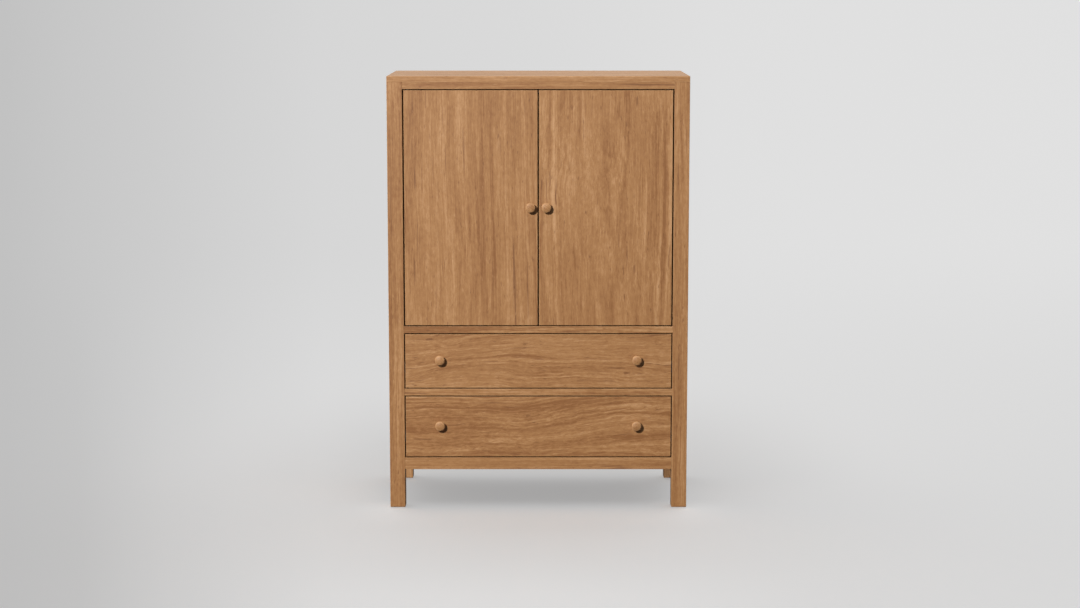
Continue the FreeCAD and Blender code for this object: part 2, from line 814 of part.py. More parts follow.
def side_panels():
    y = (FRONT_LEG_BACK - c.groove_depth, REAR_LEG_FRONT + c.groove_depth)
    panel = Board("right_side_panel_blank", SIDE_PANEL_X, y, SIDE_PANEL_Z)
    groove_x = (SIDE_PANEL_INNER, SIDE_PANEL_INNER + c.groove_depth + c.panel_play)
    groove_z = grown(CABINET_FLOOR_Z, c.joint_clearance)
    panel.cut(groove_x, (FRONT_LEG_BACK, REAR_LEG_FRONT), groove_z)
    pin_x = (SIDE_PANEL_INNER, SIDE_PANEL_INNER + c.shelf_pin_reach + c.panel_play)
    for pin_y in shelf_pin_stations():
        first = panel.bore_across(pin_x, pin_y, DOOR_OPENING + c.pin_row_start, c.shelf_pin_diameter)
        panel.repeat(first, "Z_Axis", c.pin_pitch, c.pin_row_count)
    keep_pair("left_side_panel", drilled(panel.body, right_fasteners, "right_side_panel"))


def top_panel():
    panel = Board(
        "top_panel_blank", (-HALF_WIDTH, HALF_WIDTH), (FRONT, BACK), (LEG_TOP, c.case_height)
    )
    panel.round_over(c.top_edge_radius, any_edge)
    keep(drilled(panel.body, top_dowels, "top_panel"))


def notched_panel(label, front, rear, half_width, z):
    """A level panel between the sides, notched at its corners round the four legs."""
    panel = Board(label, (-half_width, half_width), (front, rear), z)
    inner = LEG_INNER - c.panel_play
    for side in ((-half_width, -inner), (inner, half_width)):
        panel.cut(side, (front, FRONT_LEG_BACK + c.panel_play), z)
        panel.cut(side, (REAR_LEG_FRONT - c.panel_play, rear), z)
    return panel.body


def level_panels():
    floor_half_width = SIDE_PANEL_INNER + c.groove_depth
    keep(notched_panel("cabinet_floor", RAIL_BACK, REAR_RAIL_FRONT, floor_half_width, CABINET_FLOOR_Z))
    front = RAIL_Y["bottom_front_rail"][1] - c.groove_depth
    rear = REAR_RAIL_FRONT + c.groove_depth
    bottom_half_width = SIDE_RAIL_INNER + c.groove_depth
    keep(notched_panel("bottom_panel", front, rear, bottom_half_width, BOTTOM_PANEL_Z))


def back_panels():
    half_width = LEG_INNER + c.back_rebate_width - c.joint_clearance
    x = (-half_width, half_width)
    y = (BACK_PANEL_FRONT, BACK)
    middle_low, middle_high = REAR_RAIL_Z["rear_middle_rail"]
    seam = (middle_low + middle_high) / 2
    lower = Board("lower_back_panel_blank", x, y, (c.floor_clearance, seam - c.joint_clearance))
    keep(drilled(lower.body, case_screws, "lower_back_panel"))
    upper = Board("upper_back_panel_blank", x, y, (seam, LEG_TOP))
    for x_middle in outlet_places():
        upper.bore_back(x_middle, y, OUTLET_Z, c.outlet_diameter)
    bore_wall_holes(upper, y)
    keep(drilled(upper.body, case_screws, "upper_back_panel"))


# ---- Inside the case -------------------------------------------------------------------------


OUTLET_Z = DOOR_OPENING + c.outlet_height


def outlet_places():
    """The outlets stand to the left and right, clear of the gap between the doors."""
    return -c.outlet_offset, c.outlet_offset


def cable_grommets():
    """Plastic rings that line the cable outlets, flanged on the inside of the back panel."""
    outer = c.outlet_diameter / 2 - c.joint_clearance
    inner = c.outlet_diameter / 2 - c.outlet_wall
    flange = c.outlet_diameter / 2 + c.outlet_flange_width
    rim = c.outlet_flange_thickness
    end = rim + c.back_panel_thickness
    outline = [(inner, 0), (flange, 0), (flange, rim), (outer, rim), (outer, end), (inner, end)]
    ring = turned("grommet", outline)
    start = BACK_PANEL_FRONT - rim
    rings = [placed(ring, "backward", x, start, OUTLET_Z) for x in outlet_places()]
    keep(group("cable_grommets", rings))


def shelf_pin_stations():
    front = FRONT_LEG_BACK + c.shelf_play + c.shelf_pin_inset
    rear = REAR_LEG_FRONT - c.shelf_play - c.shelf_pin_inset
    return front, rear


def shelf_and_pins():
    half_width = SIDE_PANEL_INNER - c.shelf_play
    y = (FRONT_LEG_BACK + c.shelf_play, REAR_LEG_FRONT - c.shelf_play)
    board = Board("shelf", (-half_width, half_width), y, (SHELF_BOTTOM, SHELF_BOTTOM + c.shelf_thickness))
    board.round_over(c.rail_edge_radius, on_front_and_level)
    keep(board.body)
    radius = c.shelf_pin_diameter / 2
    length = c.shelf_pin_reach * 2
    pin = turned("shelf_pin", [(0, 0), (radius, 0), (radius, length), (0, length)])
    start = SIDE_PANEL_INNER - c.shelf_pin_reach
    pins = [placed(pin, "right", start, y, SHELF_PIN_Z) for y in shelf_pin_stations()]
    right_pins = group("right_shelf_pins", pins)
    keep(group("shelf_pins", [right_pins, mirrored(right_pins, "left_shelf_pins")]))


def slide_packers():
    """Blocks that bring the side panels out flush with the legs behind the slides."""
    blocks = []
    for drawer in DRAWER_OPENINGS:
        z = centred(slide_z(drawer), c.packer_height)
        block = Board(
            f"{drawer}_packer", (LEG_INNER, SIDE_PANEL_INNER), (FRONT_LEG_BACK, REAR_LEG_FRONT), z
        )
        blocks.append(block.body)
    right = drilled(group("right_packer_blanks", blocks), right_fasteners, "right_packers")
    keep(group("slide_packers", [right, mirrored(right, "left_packers")]))


def door_catch():
    """A magnetic catch under the top rail; both strikes stop just short of its face."""
    x = centred(0, c.catch_width)
    y = (LEAF_BACK + c.strike_thickness + c.catch_gap, RAIL_BACK)
    z = (TOP_RAIL_BOTTOM - c.catch_height, TOP_RAIL_BOTTOM)
    housing = Board("door_catch_blank", x, y, z)
    housing.round_over(c.catch_edge_radius, vertical)
    keep(drilled(housing.body, case_screws, "door_catch"))


# ---- Pivots and doors ------------------------------------------------------------------------


def pivot_plate_outline():
    """The outline of a right-hand pivot plate: its pin stands near its outer end."""
    outer = PIVOT_X + c.pivot_plate_overhang
    return (outer - c.pivot_plate_length, outer), centred(PIVOT_Y, c.pivot_plate_width)


def pivot_plates():
    """Plates let into the rails, each with the shoulder and the pin that a door turns on."""
    x, y = pivot_plate_outline()
    thickness = c.pivot_plate_thickness
    shoulder = c.reveal - c.pivot_axial_gap
    pin = c.reveal + c.pivot_pin_engagement
    low = DOOR_OPENING - thickness
    lower = Board("lower_pivot_plate", x, y, (low, DOOR_OPENING))
    lower.add_pin(PIVOT_X, PIVOT_Y, (low, DOOR_OPENING + shoulder), c.pivot_shoulder_diameter)
    lower.add_pin(PIVOT_X, PIVOT_Y, (low, DOOR_OPENING + pin), c.pivot_pin_diameter)
    high = TOP_RAIL_BOTTOM + thickness
    upper = Board("upper_pivot_plate", x, y, (TOP_RAIL_BOTTOM, high))
    upper.add_pin(PIVOT_X, PIVOT_Y, (TOP_RAIL_BOTTOM - shoulder, high), c.pivot_shoulder_diameter)
    upper.add_pin(PIVOT_X, PIVOT_Y, (TOP_RAIL_BOTTOM - pin, high), c.pivot_pin_diameter)
    blanks = group("right_pivot_blanks", [lower.body, upper.body])
    right = drilled(blanks, right_screws, "right_pivot_plates")
    keep(group("pivot_plates", [right, mirrored(right, "left_pivot_plates")]))


def turned_knob():
    """A mushroom knob with a crowned face and a blind bore for its bolt: its base is z = 0."""
    neck = c.knob_neck_diameter / 2
    head = c.knob_diameter / 2
    rim = c.knob_projection - c.knob_crown
    bore = c.bolt_diameter / 2
    outline = [
        (bore, 0),
        (neck, 0),
        (neck, c.knob_neck_length),
        (head, c.knob_neck_length + c.knob_flare),
        (head, rim),
        (0, c.knob_projection),
        (0, c.bolt_reach),
        (bore, c.bolt_reach),
    ]
    body = turned("knob", outline, crown=4)
    turning = body.Tip
    rounding = body.newObject("PartDesign::Fillet", "Rounding")
    rounding.Base = (turning, picked_edges(turning, on_knob_rim))
    bind(rounding, "Radius", c.knob_rim_radius)
    return body


def on_knob_rim(edge):
    """True on the two full circles of the knob's greatest diameter."""
    box = edge.BoundBox
    return box.ZLength < TOUCH and abs(box.XLength - SIZES["knob_diameter"]) < TOUCH


def doors():
    """The right door's pieces, and their mirrored twins for the left door."""
    door_knob = placed(knob, "forward", LEAF_INNER + c.door_knob_inset, FRONT, DOOR_KNOB_Z)
    keep_pair("left_door_knob", group("right_door_knob", [door_knob]))
    screws = right_door_screws()
    keep_pair("left_door_screws", screws)
    keep_pair("left_door_sockets", right_door_sockets())
    leaf = Board("right_leaf_blank", (LEAF_INNER, LEAF_OUTER), (FRONT, LEAF_BACK), (LEAF_BOTTOM, LEAF_TOP))
    leaf.round_over(c.leaf_edge_radius, on_front_face)
    for z in socket_spans():
        leaf.bore_up(PIVOT_X, PIVOT_Y, z, c.socket_diameter)
    keep_pair("left_door_leaf", drilled(leaf.body, screws, "right_door_leaf"))
    x, z = strike_outline()
    strike = Board("right_strike_blank", x, (LEAF_BACK, LEAF_BACK + c.strike_thickness), z)
    keep_pair("left_door_strike", drilled(strike.body, screws, "right_door_strike"))


DOOR_KNOB_Z = (LEAF_BOTTOM + LEAF_TOP) / 2 + c.knob_lift


def right_door_screws():
    """The bolt of the right door's knob and the screw of its strike."""
    bolt_head = LEAF_BACK + c.bolt_head_height
    bolt = placed(door_bolt, "forward", LEAF_INNER + c.door_knob_inset, bolt_head, DOOR_KNOB_Z)
    x, z = strike_outline()
    strike_face = LEAF_BACK + c.strike_thickness
    middle_x = (x[0] + x[1]) / 2
    middle_z = (z[0] + z[1]) / 2
    screw = placed(short_screw, "forward", middle_x, strike_face, middle_z)
    return group("right_door_screws", [bolt, screw])


def strike_outline():
    """The width and height of the right door's strike, near the leaf's upper inner corner."""
    inner = LEAF_INNER + c.strike_inset
    top = LEAF_TOP - c.strike_inset
    return (inner, inner + c.strike_width), (top - c.strike_height, top)


def socket_spans():
    """The heights of the bushes in a door's lower and upper edges."""
    lower = (LEAF_BOTTOM, LEAF_BOTTOM + c.socket_length)
    return lower, (LEAF_TOP - c.socket_length, LEAF_TOP)


def right_door_sockets():
    """Bushes pressed into the door's edges, which run on the pivot pins."""
    bore = c.pivot_pin_diameter / 2 + c.pivot_running_gap
    outer = c.socket_diameter / 2
    length = c.socket_length
    bush = turned("pivot_bush", [(bore, 0), (outer, 0), (outer, length), (bore, length)])
    bushes = [placed(bush, "up", PIVOT_X, PIVOT_Y, z[0]) for z in socket_spans()]
    return group("right_door_sockets", bushes)


# ---- Drawers ---------------------------------------------------------------------------------

BOX_Y = (DRAWER_FRONT_BACK - c.front_groove_depth, BOX_BACK)
FRONT_GROOVE_Y = (DRAWER_FRONT_BACK - c.front_groove_depth, DRAWER_FRONT_BACK)
DRAWER_BACK_REAR = BOX_BACK - c.drawer_back_inset
DRAWER_BACK_Y = (DRAWER_BACK_REAR - c.drawer_side_thickness, DRAWER_BACK_REAR)
BOX_HALF_WIDTH = BOX_INNER + c.drawer_groove_depth
BOX_WIDTH = (-BOX_HALF_WIDTH, BOX_HALF_WIDTH)


def bottom_z(drawer):
    """The underside and upper face of a drawer's bottom."""
    low = box_z(drawer)[0] + c.drawer_bottom_lift
    return low, low + c.drawer_bottom_thickness


def drawer_knob_z(drawer):
    """The knobs' height, a little above the middle of the drawer's front."""
    low, high = DRAWER_OPENINGS[drawer]
    return (low + high) / 2 + c.knob_lift


def drawer_screws(drawer):
    """The bolts of a drawer's knobs and the screws of its bottom and its slides."""
    bolt_head = DRAWER_FRONT_BACK + c.bolt_head_height
    knob_z = drawer_knob_z(drawer)
    right = [placed(drawer_bolt, "forward", c.drawer_knob_offset, bolt_head, knob_z)]
    for station in slide_screw_stations():
        head = BOX_OUTER + c.slide_wall
        right.append(placed(short_screw, "left", head, station, slide_z(drawer)))
    underside = bottom_z(drawer)[0]
    back_middle = (DRAWER_BACK_Y[0] + DRAWER_BACK_Y[1]) / 2
    right.append(placed(long_screw, "up", c.drawer_screw_offset, back_middle, underside))
    middle = placed(long_screw, "up", 0, back_middle, underside)
    right_half = group(f"right_{drawer}_drawer_screws", right)
    left_half = mirrored(right_half, f"left_{drawer}_drawer_screws")
    return group(f"{drawer}_drawer_screws", [right_half, left_half, middle])


def drawer_front(drawer, screws):
    low, high = DRAWER_OPENINGS[drawer]
    front = Board(
        f"{drawer}_drawer_front_blank",
        (-DRAWER_FRONT_EDGE, DRAWER_FRONT_EDGE),
        (FRONT, DRAWER_FRONT_BACK),
        (low + c.reveal, high - c.reveal),
    )
    front.round_over(c.leaf_edge_radius, on_front_face)
    side_z = grown(box_z(drawer), c.joint_clearance)
    front.cut(grown((BOX_INNER, BOX_OUTER), c.joint_clearance), FRONT_GROOVE_Y, side_z)
    front.cut(grown((-BOX_OUTER, -BOX_INNER), c.joint_clearance), FRONT_GROOVE_Y, side_z)
    front.cut(BOX_WIDTH, FRONT_GROOVE_Y, grown(bottom_z(drawer), c.joint_clearance))
    keep(drilled(front.body, screws, f"{drawer}_drawer_front"))


def drawer_sides(drawer, screws):
    low, high = box_z(drawer)
    side = Board(f"{drawer}_drawer_side_blank", (BOX_INNER, BOX_OUTER), BOX_Y, (low, high))
    groove_x = (BOX_INNER, BOX_HALF_WIDTH)
    floor_low, floor_high = bottom_z(drawer)
    side.cut(groove_x, BOX_Y, grown((floor_low, floor_high), c.joint_clearance))
    side.cut(groove_x, grown(DRAWER_BACK_Y, c.joint_clearance), (floor_high, high))
    right = drilled(side.body, screws, f"{drawer}_drawer_right_side")
    keep_pair(f"{drawer}_drawer_left_side", right)


def drawer_back_and_bottom(drawer, screws):
    high = box_z(drawer)[1]
    floor_low, floor_high = bottom_z(drawer)
    back = Board(f"{drawer}_drawer_back_blank", BOX_WIDTH, DRAWER_BACK_Y, (floor_high, high))
    keep(drilled(back.body, screws, f"{drawer}_drawer_back"))
    bottom_y = (BOX_Y[0], DRAWER_BACK_REAR)
    bottom = Board(f"{drawer}_drawer_bottom_blank", BOX_WIDTH, bottom_y, (floor_low, floor_high))
    keep(drilled(bottom.body, screws, f"{drawer}_drawer_bottom"))


def drawer_knobs(drawer):
    knob_z = drawer_knob_z(drawer)
    right = placed(knob, "forward", c.drawer_knob_offset, FRONT, knob_z)
    left = placed(knob, "forward", -c.drawer_knob_offset, FRONT, knob_z)
    keep(group(f"{drawer}_drawer_knobs", [left, right]))


def channel(label, x, z, web_on_right):
    """A slide member: a C-shaped strip that runs from front to back."""
    body = new_body(label)
    for axis, low in zip("xyz", (x[0], SLIDE_FRONT, z[0])):
        bind(body, f".Placement.Base.{axis}", low)
    width = x[1] - x[0]
    height = z[1] - z[0]
    wall = c.slide_wall
    if web_on_right:
        web = width - wall
        inside = [(0, height - wall), (web, height - wall), (web, wall), (0, wall)]
        outline = [(0, 0), (width, 0), (width, height), (0, height)] + inside
    else:
        inside = [(width, wall), (wall, wall), (wall, height - wall), (width, height - wall)]
        outline = [(0, 0), (width, 0)] + inside + [(width, height), (0, height)]
    pad = body.newObject("PartDesign::Pad", "Length")
    pad.Profile = outline_sketch(body, "XZ_Plane", outline)
    pad.Reversed = True
    bind(pad, "Length", SLIDE_LENGTH)
    return body


def slides(drawer, screws):
    """A pair of slides, each three channels nested one in the next with a running gap between."""
    step = c.slide_wall + c.slide_running_gap
    height = slide_z(drawer)
    outer_x = (BOX_OUTER + step + c.slide_wall, LEG_INNER)
    outer = channel(f"{drawer}_outer_blank", outer_x, centred(height, c.slide_height), True)
    middle_x = (BOX_OUTER + step, LEG_INNER - step)
    middle_z = centred(height, c.slide_height - step * 2)
    middle = channel(f"{drawer}_right_middle", middle_x, middle_z, True)
    inner_x = (BOX_OUTER, LEG_INNER - step * 2)
    inner_z = centred(height, c.slide_height - step * 4)
    inner = channel(f"{drawer}_inner_blank", inner_x, inner_z, False)
    outer = drilled(outer, right_screws, f"{drawer}_right_outer")
    inner = drilled(inner, screws, f"{drawer}_right_inner")
    for name, member in (("outer", outer), ("middle", middle), ("inner", inner)):
        twin = mirrored(member, f"{drawer}_left_{name}")
        keep(group(f"{drawer}_slide_{name}_members", [member, twin]))


def drawer_assembly(drawer):
    screws = drawer_screws(drawer)
    keep(screws)
    drawer_front(drawer, screws)
    drawer_sides(drawer, screws)
    drawer_back_and_bottom(drawer, screws)
    drawer_knobs(drawer)
    slides(drawer, screws)


# ---- Build, check and write ------------------------------------------------------------------


def check_feature(feature):
    """Stop if a feature failed, or if a cut removed nothing."""
    state = set(feature.State)
    if state & {"Invalid", "Error"}:
        raise RuntimeError(f"{feature.Label} is {state}")
    cuts = feature.TypeId.startswith("PartDesign::Subtractive")
    if cuts and feature.Shape.Volume > feature.BaseFeature.Shape.Volume - TOUCH:
        raise RuntimeError(f"{feature.Label} in {feature.getParent().Label} cuts nothing")


def check_sub_part(piece):
    """Stop if a sub-part has no valid solid."""
    shape = piece.Shape
    if shape.isNull() or not shape.isValid() or not shape.Solids:
        raise RuntimeError(f"{piece.Label} is not a valid solid")
    if min(solid.Volume for solid in shape.Solids) <= 0:
        raise RuntimeError(f"{piece.Label} holds an empty solid")


def write_parts():
    os.makedirs("parts", exist_ok=True)
    for piece in sub_parts:
        piece.Shape.exportStep(f"parts/{piece.Label}.step")
    print(len(sub_parts), "sub-parts written")


knob = turned_knob()
front_legs()
rear_legs()
front_rails()
rear_rails()
side_rails()
side_panels()
top_panel()
level_panels()
back_panels()
cable_grommets()
shelf_and_pins()
slide_packers()
door_catch()
pivot_plates()
doors()
for drawer_name in DRAWER_OPENINGS:
    drawer_assembly(drawer_name)
doc.recompute()

for item in doc.Objects:
    check_feature(item)
for sub_part in sub_parts:
    check_sub_part(sub_part)
write_parts()
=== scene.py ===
# %% [markdown]
# # A wooden TV armoire, dressed in cells
#
# The CAD model gives every board, hinge and slide its exact place. This lesson puts the looks around it: oiled
# brown wood with grain that runs the right way in each board, turned knobs, screws, steel slides and a plain
# studio. Loading the CAD frame comes first, because every later cell asks it where things are.

# %% Load the frame
import math

import json

import bmesh
import bpy
from mathutils import Euler, Matrix, Vector


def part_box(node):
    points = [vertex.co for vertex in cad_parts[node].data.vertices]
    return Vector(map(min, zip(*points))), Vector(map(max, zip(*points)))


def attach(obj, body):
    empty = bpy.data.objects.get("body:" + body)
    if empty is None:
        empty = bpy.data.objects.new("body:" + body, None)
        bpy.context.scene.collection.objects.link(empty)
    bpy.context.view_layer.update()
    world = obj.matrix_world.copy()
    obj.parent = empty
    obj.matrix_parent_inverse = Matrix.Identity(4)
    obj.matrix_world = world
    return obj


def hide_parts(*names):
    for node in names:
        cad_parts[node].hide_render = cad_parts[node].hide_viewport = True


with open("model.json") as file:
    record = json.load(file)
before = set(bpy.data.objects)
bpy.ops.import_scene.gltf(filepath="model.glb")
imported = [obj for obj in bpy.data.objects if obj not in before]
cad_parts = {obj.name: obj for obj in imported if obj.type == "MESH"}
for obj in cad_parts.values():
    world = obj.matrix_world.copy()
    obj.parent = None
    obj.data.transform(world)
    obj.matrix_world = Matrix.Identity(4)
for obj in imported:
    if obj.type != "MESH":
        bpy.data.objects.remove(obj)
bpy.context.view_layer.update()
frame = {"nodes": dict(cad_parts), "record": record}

# %% [markdown]
# ## The camera
#
# A camera needs a lens, a place and a tilt. It could be aimed with a constraint, but three plain numbers are
# easier to read: it stands 8.1 m in front of the armoire at eye height and looks 8 degrees down through a
# long lens, so that upright lines stay almost parallel.

# %% The camera
EYE_HEIGHT = 1.937
EYE_DISTANCE = 8.1
EYE_SIDEWAYS = 0.0064
LOOK_DOWN = 8.146
LENS_MM = 73.1
SENSOR_MM = 36
FARTHEST_SEEN = 5000


def put(name, data, place=(0, 0, 0), turn=(0, 0, 0)):
    """A new object in the scene."""
    made = bpy.data.objects.new(name, data)
    made.location = place
    made.rotation_euler = turn
    bpy.context.scene.collection.objects.link(made)
    return made


case_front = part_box("front_left_leg")[0].y
camera_data = bpy.data.cameras.new("studio_camera")
camera_data.lens = LENS_MM
camera_data.sensor_width = SENSOR_MM
camera_data.clip_end = FARTHEST_SEEN
camera = put("studio_camera", camera_data, (EYE_SIDEWAYS, case_front - EYE_DISTANCE, EYE_HEIGHT),
             (math.radians(90 - LOOK_DOWN), 0, 0))
bpy.context.scene.camera = camera
print("camera at", [round(v, 3) for v in camera.location])

# %% [markdown]
# ## Helpers for node trees
#
# Materials and Geometry Nodes are both trees of nodes. Clicking them together by hand can't be repeated, so a
# few helpers build them from code. `add` makes a node, sets its options, and fills its inputs with numbers or
# with another node's output; an input is named by its label, or by its number where two labels are alike. `get`
# does the same and gives back one output as a `Value`. Values can be added, subtracted, multiplied and divided
# like plain numbers, and each time that puts a Math node into their tree.

# %% Helpers for node trees
class Value:
    """One output of a node: a number, a vector, a colour, a shader or a geometry."""

    def __init__(self, tree, socket):
        self.tree = tree
        self.socket = socket

    def calc(self, operation, other=None):
        kind = "ShaderNodeVectorMath" if self.socket.type in ("VECTOR", "RGBA") else "ShaderNodeMath"
        inputs = {0: self} if other is None else {0: self, 1: other}
        return get(self.tree, kind, inputs, operation=operation)

    def __add__(self, other):
        return self.calc("ADD", other)

    def __sub__(self, other):
        return self.calc("SUBTRACT", other)

    def __mul__(self, other):
        return self.calc("MULTIPLY", other)

    def __truediv__(self, other):
        return self.calc("DIVIDE", other)


def add(tree, kind, inputs=None, **options):
    node = tree.nodes.new(kind)
    for name, value in options.items():
        setattr(node, name, value)
    for name, value in (inputs or {}).items():
        feed(tree, node.inputs[name], value)
    return node


def feed(tree, socket, value):
    """Fills an input with a number, a vector or a colour, or joins it to an output."""
    if isinstance(value, Value):
        tree.links.new(value.socket, socket)
    else:
        socket.default_value = value


def get(tree, kind, inputs=None, output=0, **options):
    return Value(tree, add(tree, kind, inputs, **options).outputs[output])


def axes(vector):
    """A vector's X, Y and Z."""
    parts = add(vector.tree, "ShaderNodeSeparateXYZ", {0: vector}).outputs
    return [Value(vector.tree, parts[axis]) for axis in "XYZ"]


def xyz(tree, **parts):
    """A vector from its X, Y or Z."""
    return get(tree, "ShaderNodeCombineXYZ", parts)


def noise(vector, detail=2.0, roughness=0.5, scale=1.0, output=0):
    inputs = {"Vector": vector, "Scale": scale, "Detail": detail, "Roughness": roughness}
    return get(vector.tree, "ShaderNodeTexNoise", inputs, output)


def between(value, low, high, to_low=0.0, to_high=1.0, ends="SMOOTHSTEP"):
    """Maps a value's range from low to high onto another range, with soft or LINEAR ends."""
    inputs = {"Value": value, "From Min": low, "From Max": high, "To Min": to_low, "To Max": to_high}
    return get(value.tree, "ShaderNodeMapRange", inputs, "Result", interpolation_type=ends)


def blend(share, first, second):
    """A mix of two colours."""
    return get(share.tree, "ShaderNodeMix", {0: share, 6: first, 7: second}, 2, data_type="RGBA")


def emptied_tree(owner):
    """The node tree of a new material or world, with nothing in it."""
    owner.use_nodes = True
    owner.node_tree.nodes.clear()
    return owner.node_tree


print("helpers ready")

# %% [markdown]
# ## The studio
#
# Furniture is shown on a seamless pale floor that fills the view. A curved backdrop would hide the armoire
# from behind, so this floor is one very wide disc, and the camera sees nothing else. It glows a little by
# itself, which keeps the shadow under the case light, as a washed-out studio floor does. Its tones are painted
# shade and light, given against the sideways angle from the camera's foot, once for far off and once for near.

# %% The floor's tones
RAMP_EDGE = 0.25
RAMP_ROOM = 0.8
# Painted shade: both ramps of tones darken the floor towards its left.
FAR_TONES = ((-0.244, 0.745), (-0.21, 0.80), (-0.173, 0.848), (-0.137, 0.90), (-0.10, 0.947), (-0.078, 0.955),
             (0.0, 0.985), (0.08, 1.04), (0.146, 1.05), (0.244, 1.055))
NEAR_TONES = ((-0.244, 0.735), (-0.21, 0.77), (-0.173, 0.87), (-0.137, 0.94), (-0.10, 0.995), (-0.06, 1.0),
              (0.0, 1.0), (0.08, 0.985), (0.146, 0.985), (0.244, 0.98))
# Painted light on the floor in front of the case, and a painted shadow behind it.
PAINTED_LIGHT_IN_FRONT = 0.09
PAINTED_SHADOW_BEHIND = 0.15
# Painted light: a lighter strip in the middle of the floor, near the camera.
PAINTED_LIGHT_STRIP = 0.045
WHITE = (1, 1, 1, 1)


def tone_ramp(sideways, tones):
    """A ramp of greys. A ramp can't hold tones above 1, so all are scaled down to make room for them."""
    place = between(sideways, -RAMP_EDGE, RAMP_EDGE, ends="LINEAR")
    node = add(sideways.tree, "ShaderNodeValToRGB", {0: place})
    steps = node.color_ramp.elements
    while len(steps) < len(tones):
        steps.new(0.5)
    for step, (angle, tone) in zip(steps, tones):
        step.position = (angle + RAMP_EDGE) / (2 * RAMP_EDGE)
        step.color = (tone * RAMP_ROOM, tone * RAMP_ROOM, tone * RAMP_ROOM, 1)
    return Value(sideways.tree, node.outputs["Color"])


def painted_light_and_shade_near_case(across, deep):
    """Painted shadow on the floor just behind the case and painted light just in front of it, as factors near
    one.
    """
    off_middle = across.calc("ABSOLUTE")
    behind = between(deep, -0.15, 0.35) * between(deep, 2.6, 0.4) * between(off_middle, 1.5, 0.3)
    front = between(deep, -0.12, -0.24) * between(deep, -0.62, -0.26) * between(off_middle, 0.8, 0.5)
    return front * PAINTED_LIGHT_IN_FRONT - behind * PAINTED_SHADOW_BEHIND + 1.0


def grey(colour):
    return get(colour.tree, "ShaderNodeRGBToBW", {"Color": colour})


def floor_tone(tree):
    """Painted shade and light on the floor: it darkens to its left and a little towards the camera, and is even
    behind the camera.
    """
    across, deep = axes(get(tree, "ShaderNodeTexCoord", output="Object"))[:2]
    depth = deep - camera.location.y
    reach = (across.calc("POWER", 2.0) + depth.calc("POWER", 2.0)).calc("SQRT")
    sideways = across / reach.calc("MAXIMUM", 0.5)
    tone = blend(between(deep, -1.0, 9.0), tone_ramp(sideways, NEAR_TONES), tone_ramp(sideways, FAR_TONES))
    # A painted lighter strip in the middle of the floor, nearer the camera than the case.
    strip = between(deep, -0.95, -1.6) * between(sideways.calc("ABSOLUTE"), 0.16, 0.04)
    lift = strip * PAINTED_LIGHT_STRIP + 1.0
    lifted = grey(tone) * (lift * (1 / RAMP_ROOM)) * painted_light_and_shade_near_case(across, deep)
    return grey(blend(between(depth, 2.0, 6.0), WHITE, lifted))


print("tones:", len(FAR_TONES), "far and", len(NEAR_TONES), "near")

# %% The floor
FLOOR_RADIUS = 2500.0
FLOOR_GLOW = 0.340
FLOOR_SHARE = 0.80
QUIET_FLOOR = (0.30, 0.30, 0.30, 1)


def to_mesh(shape, name):
    mesh = bpy.data.meshes.new(name)
    shape.to_mesh(mesh)
    shape.free()
    return mesh


def make_floor():
    shape = bmesh.new()
    bmesh.ops.create_circle(shape, cap_ends=True, segments=96, radius=FLOOR_RADIUS)
    floor = put("studio_floor", to_mesh(shape, "studio_floor"))
    return floor


def by_ray(tree, others, own):
    """One shader for all other rays, and one for the rays that come straight from the camera."""
    direct = get(tree, "ShaderNodeLightPath", output="Is Camera Ray")
    return get(tree, "ShaderNodeMixShader", {0: direct, 1: others, 2: own})


def make_floor_paint():
    paint = bpy.data.materials.new("studio_floor_paint")
    tree = emptied_tree(paint)
    level = floor_tone(tree)
    matt = get(tree, "ShaderNodeBsdfDiffuse", {"Color": level * FLOOR_SHARE})
    light = get(tree, "ShaderNodeEmission", {"Color": WHITE, "Strength": level * FLOOR_GLOW})
    quiet = get(tree, "ShaderNodeBsdfDiffuse", {"Color": QUIET_FLOOR})
    shown = get(tree, "ShaderNodeAddShader", {0: matt, 1: light})
    add(tree, "ShaderNodeOutputMaterial", {"Surface": by_ray(tree, quiet, shown)})
    print("floor paint nodes:", len(tree.nodes))
    return paint


floor = make_floor()
floor.data.materials.append(make_floor_paint())

# %% [markdown]
# ## The light
#
# A large soft key light stands up to the left in front, as its short, clear shadow beside each knob shows.
# The room adds the rest: bright behind the armoire, dim behind the camera. Light linking keeps the key light
# off the floor, so the case throws no long shadow across it. Two small lights help where the key light can't
# reach: a warm one from above warms only the top board, and a low one lights the rear foot behind the case. A
# third one, set where the knobs are turned, lights their upper rims from above.

# %% The light
KEY_PLACE = (-4.9, -10.1, 6.1)
KEY_AIM_HEIGHT = 0.8
KEY_SIZE = 1.25
KEY_WATTS = 1900.0
KEY_COLOUR = (1.0, 0.985, 0.965)
ROOM_FRONT = 0.08
ROOM_BACK = 0.76
ROOM_ABOVE = 0.46
WALL_TONE = 0.72
SMALL_LIGHTS = {
    "foot_light": ("rear_right_leg", (0, -4.0, 0.12), (math.radians(90), 0, 0), 110.0, 0.5, (1.0, 0.88, 0.70)),
    "top_light": ("top_panel", (0, 0.5, 3.6), (0, 0, 0), 26.0, 1.4, (1.0, 0.92, 0.62)),
}


def area_light(name, place, turn, watts, size, colour):
    data = bpy.data.lights.new(name, "AREA")
    data.size = size
    data.energy = watts
    data.color = colour
    light = put(name, data, place, turn)
    light.visible_camera = False
    return light


def only_light(light, label, pieces, state="INCLUDE"):
    """Light linking: the light reaches only these objects, or, with EXCLUDE, all but these."""
    receivers = bpy.data.collections.new(label)
    for piece in pieces:
        receivers.objects.link(piece)
    light.light_linking.receiver_collection = receivers
    for linked in receivers.collection_objects:
        linked.light_linking.link_state = state


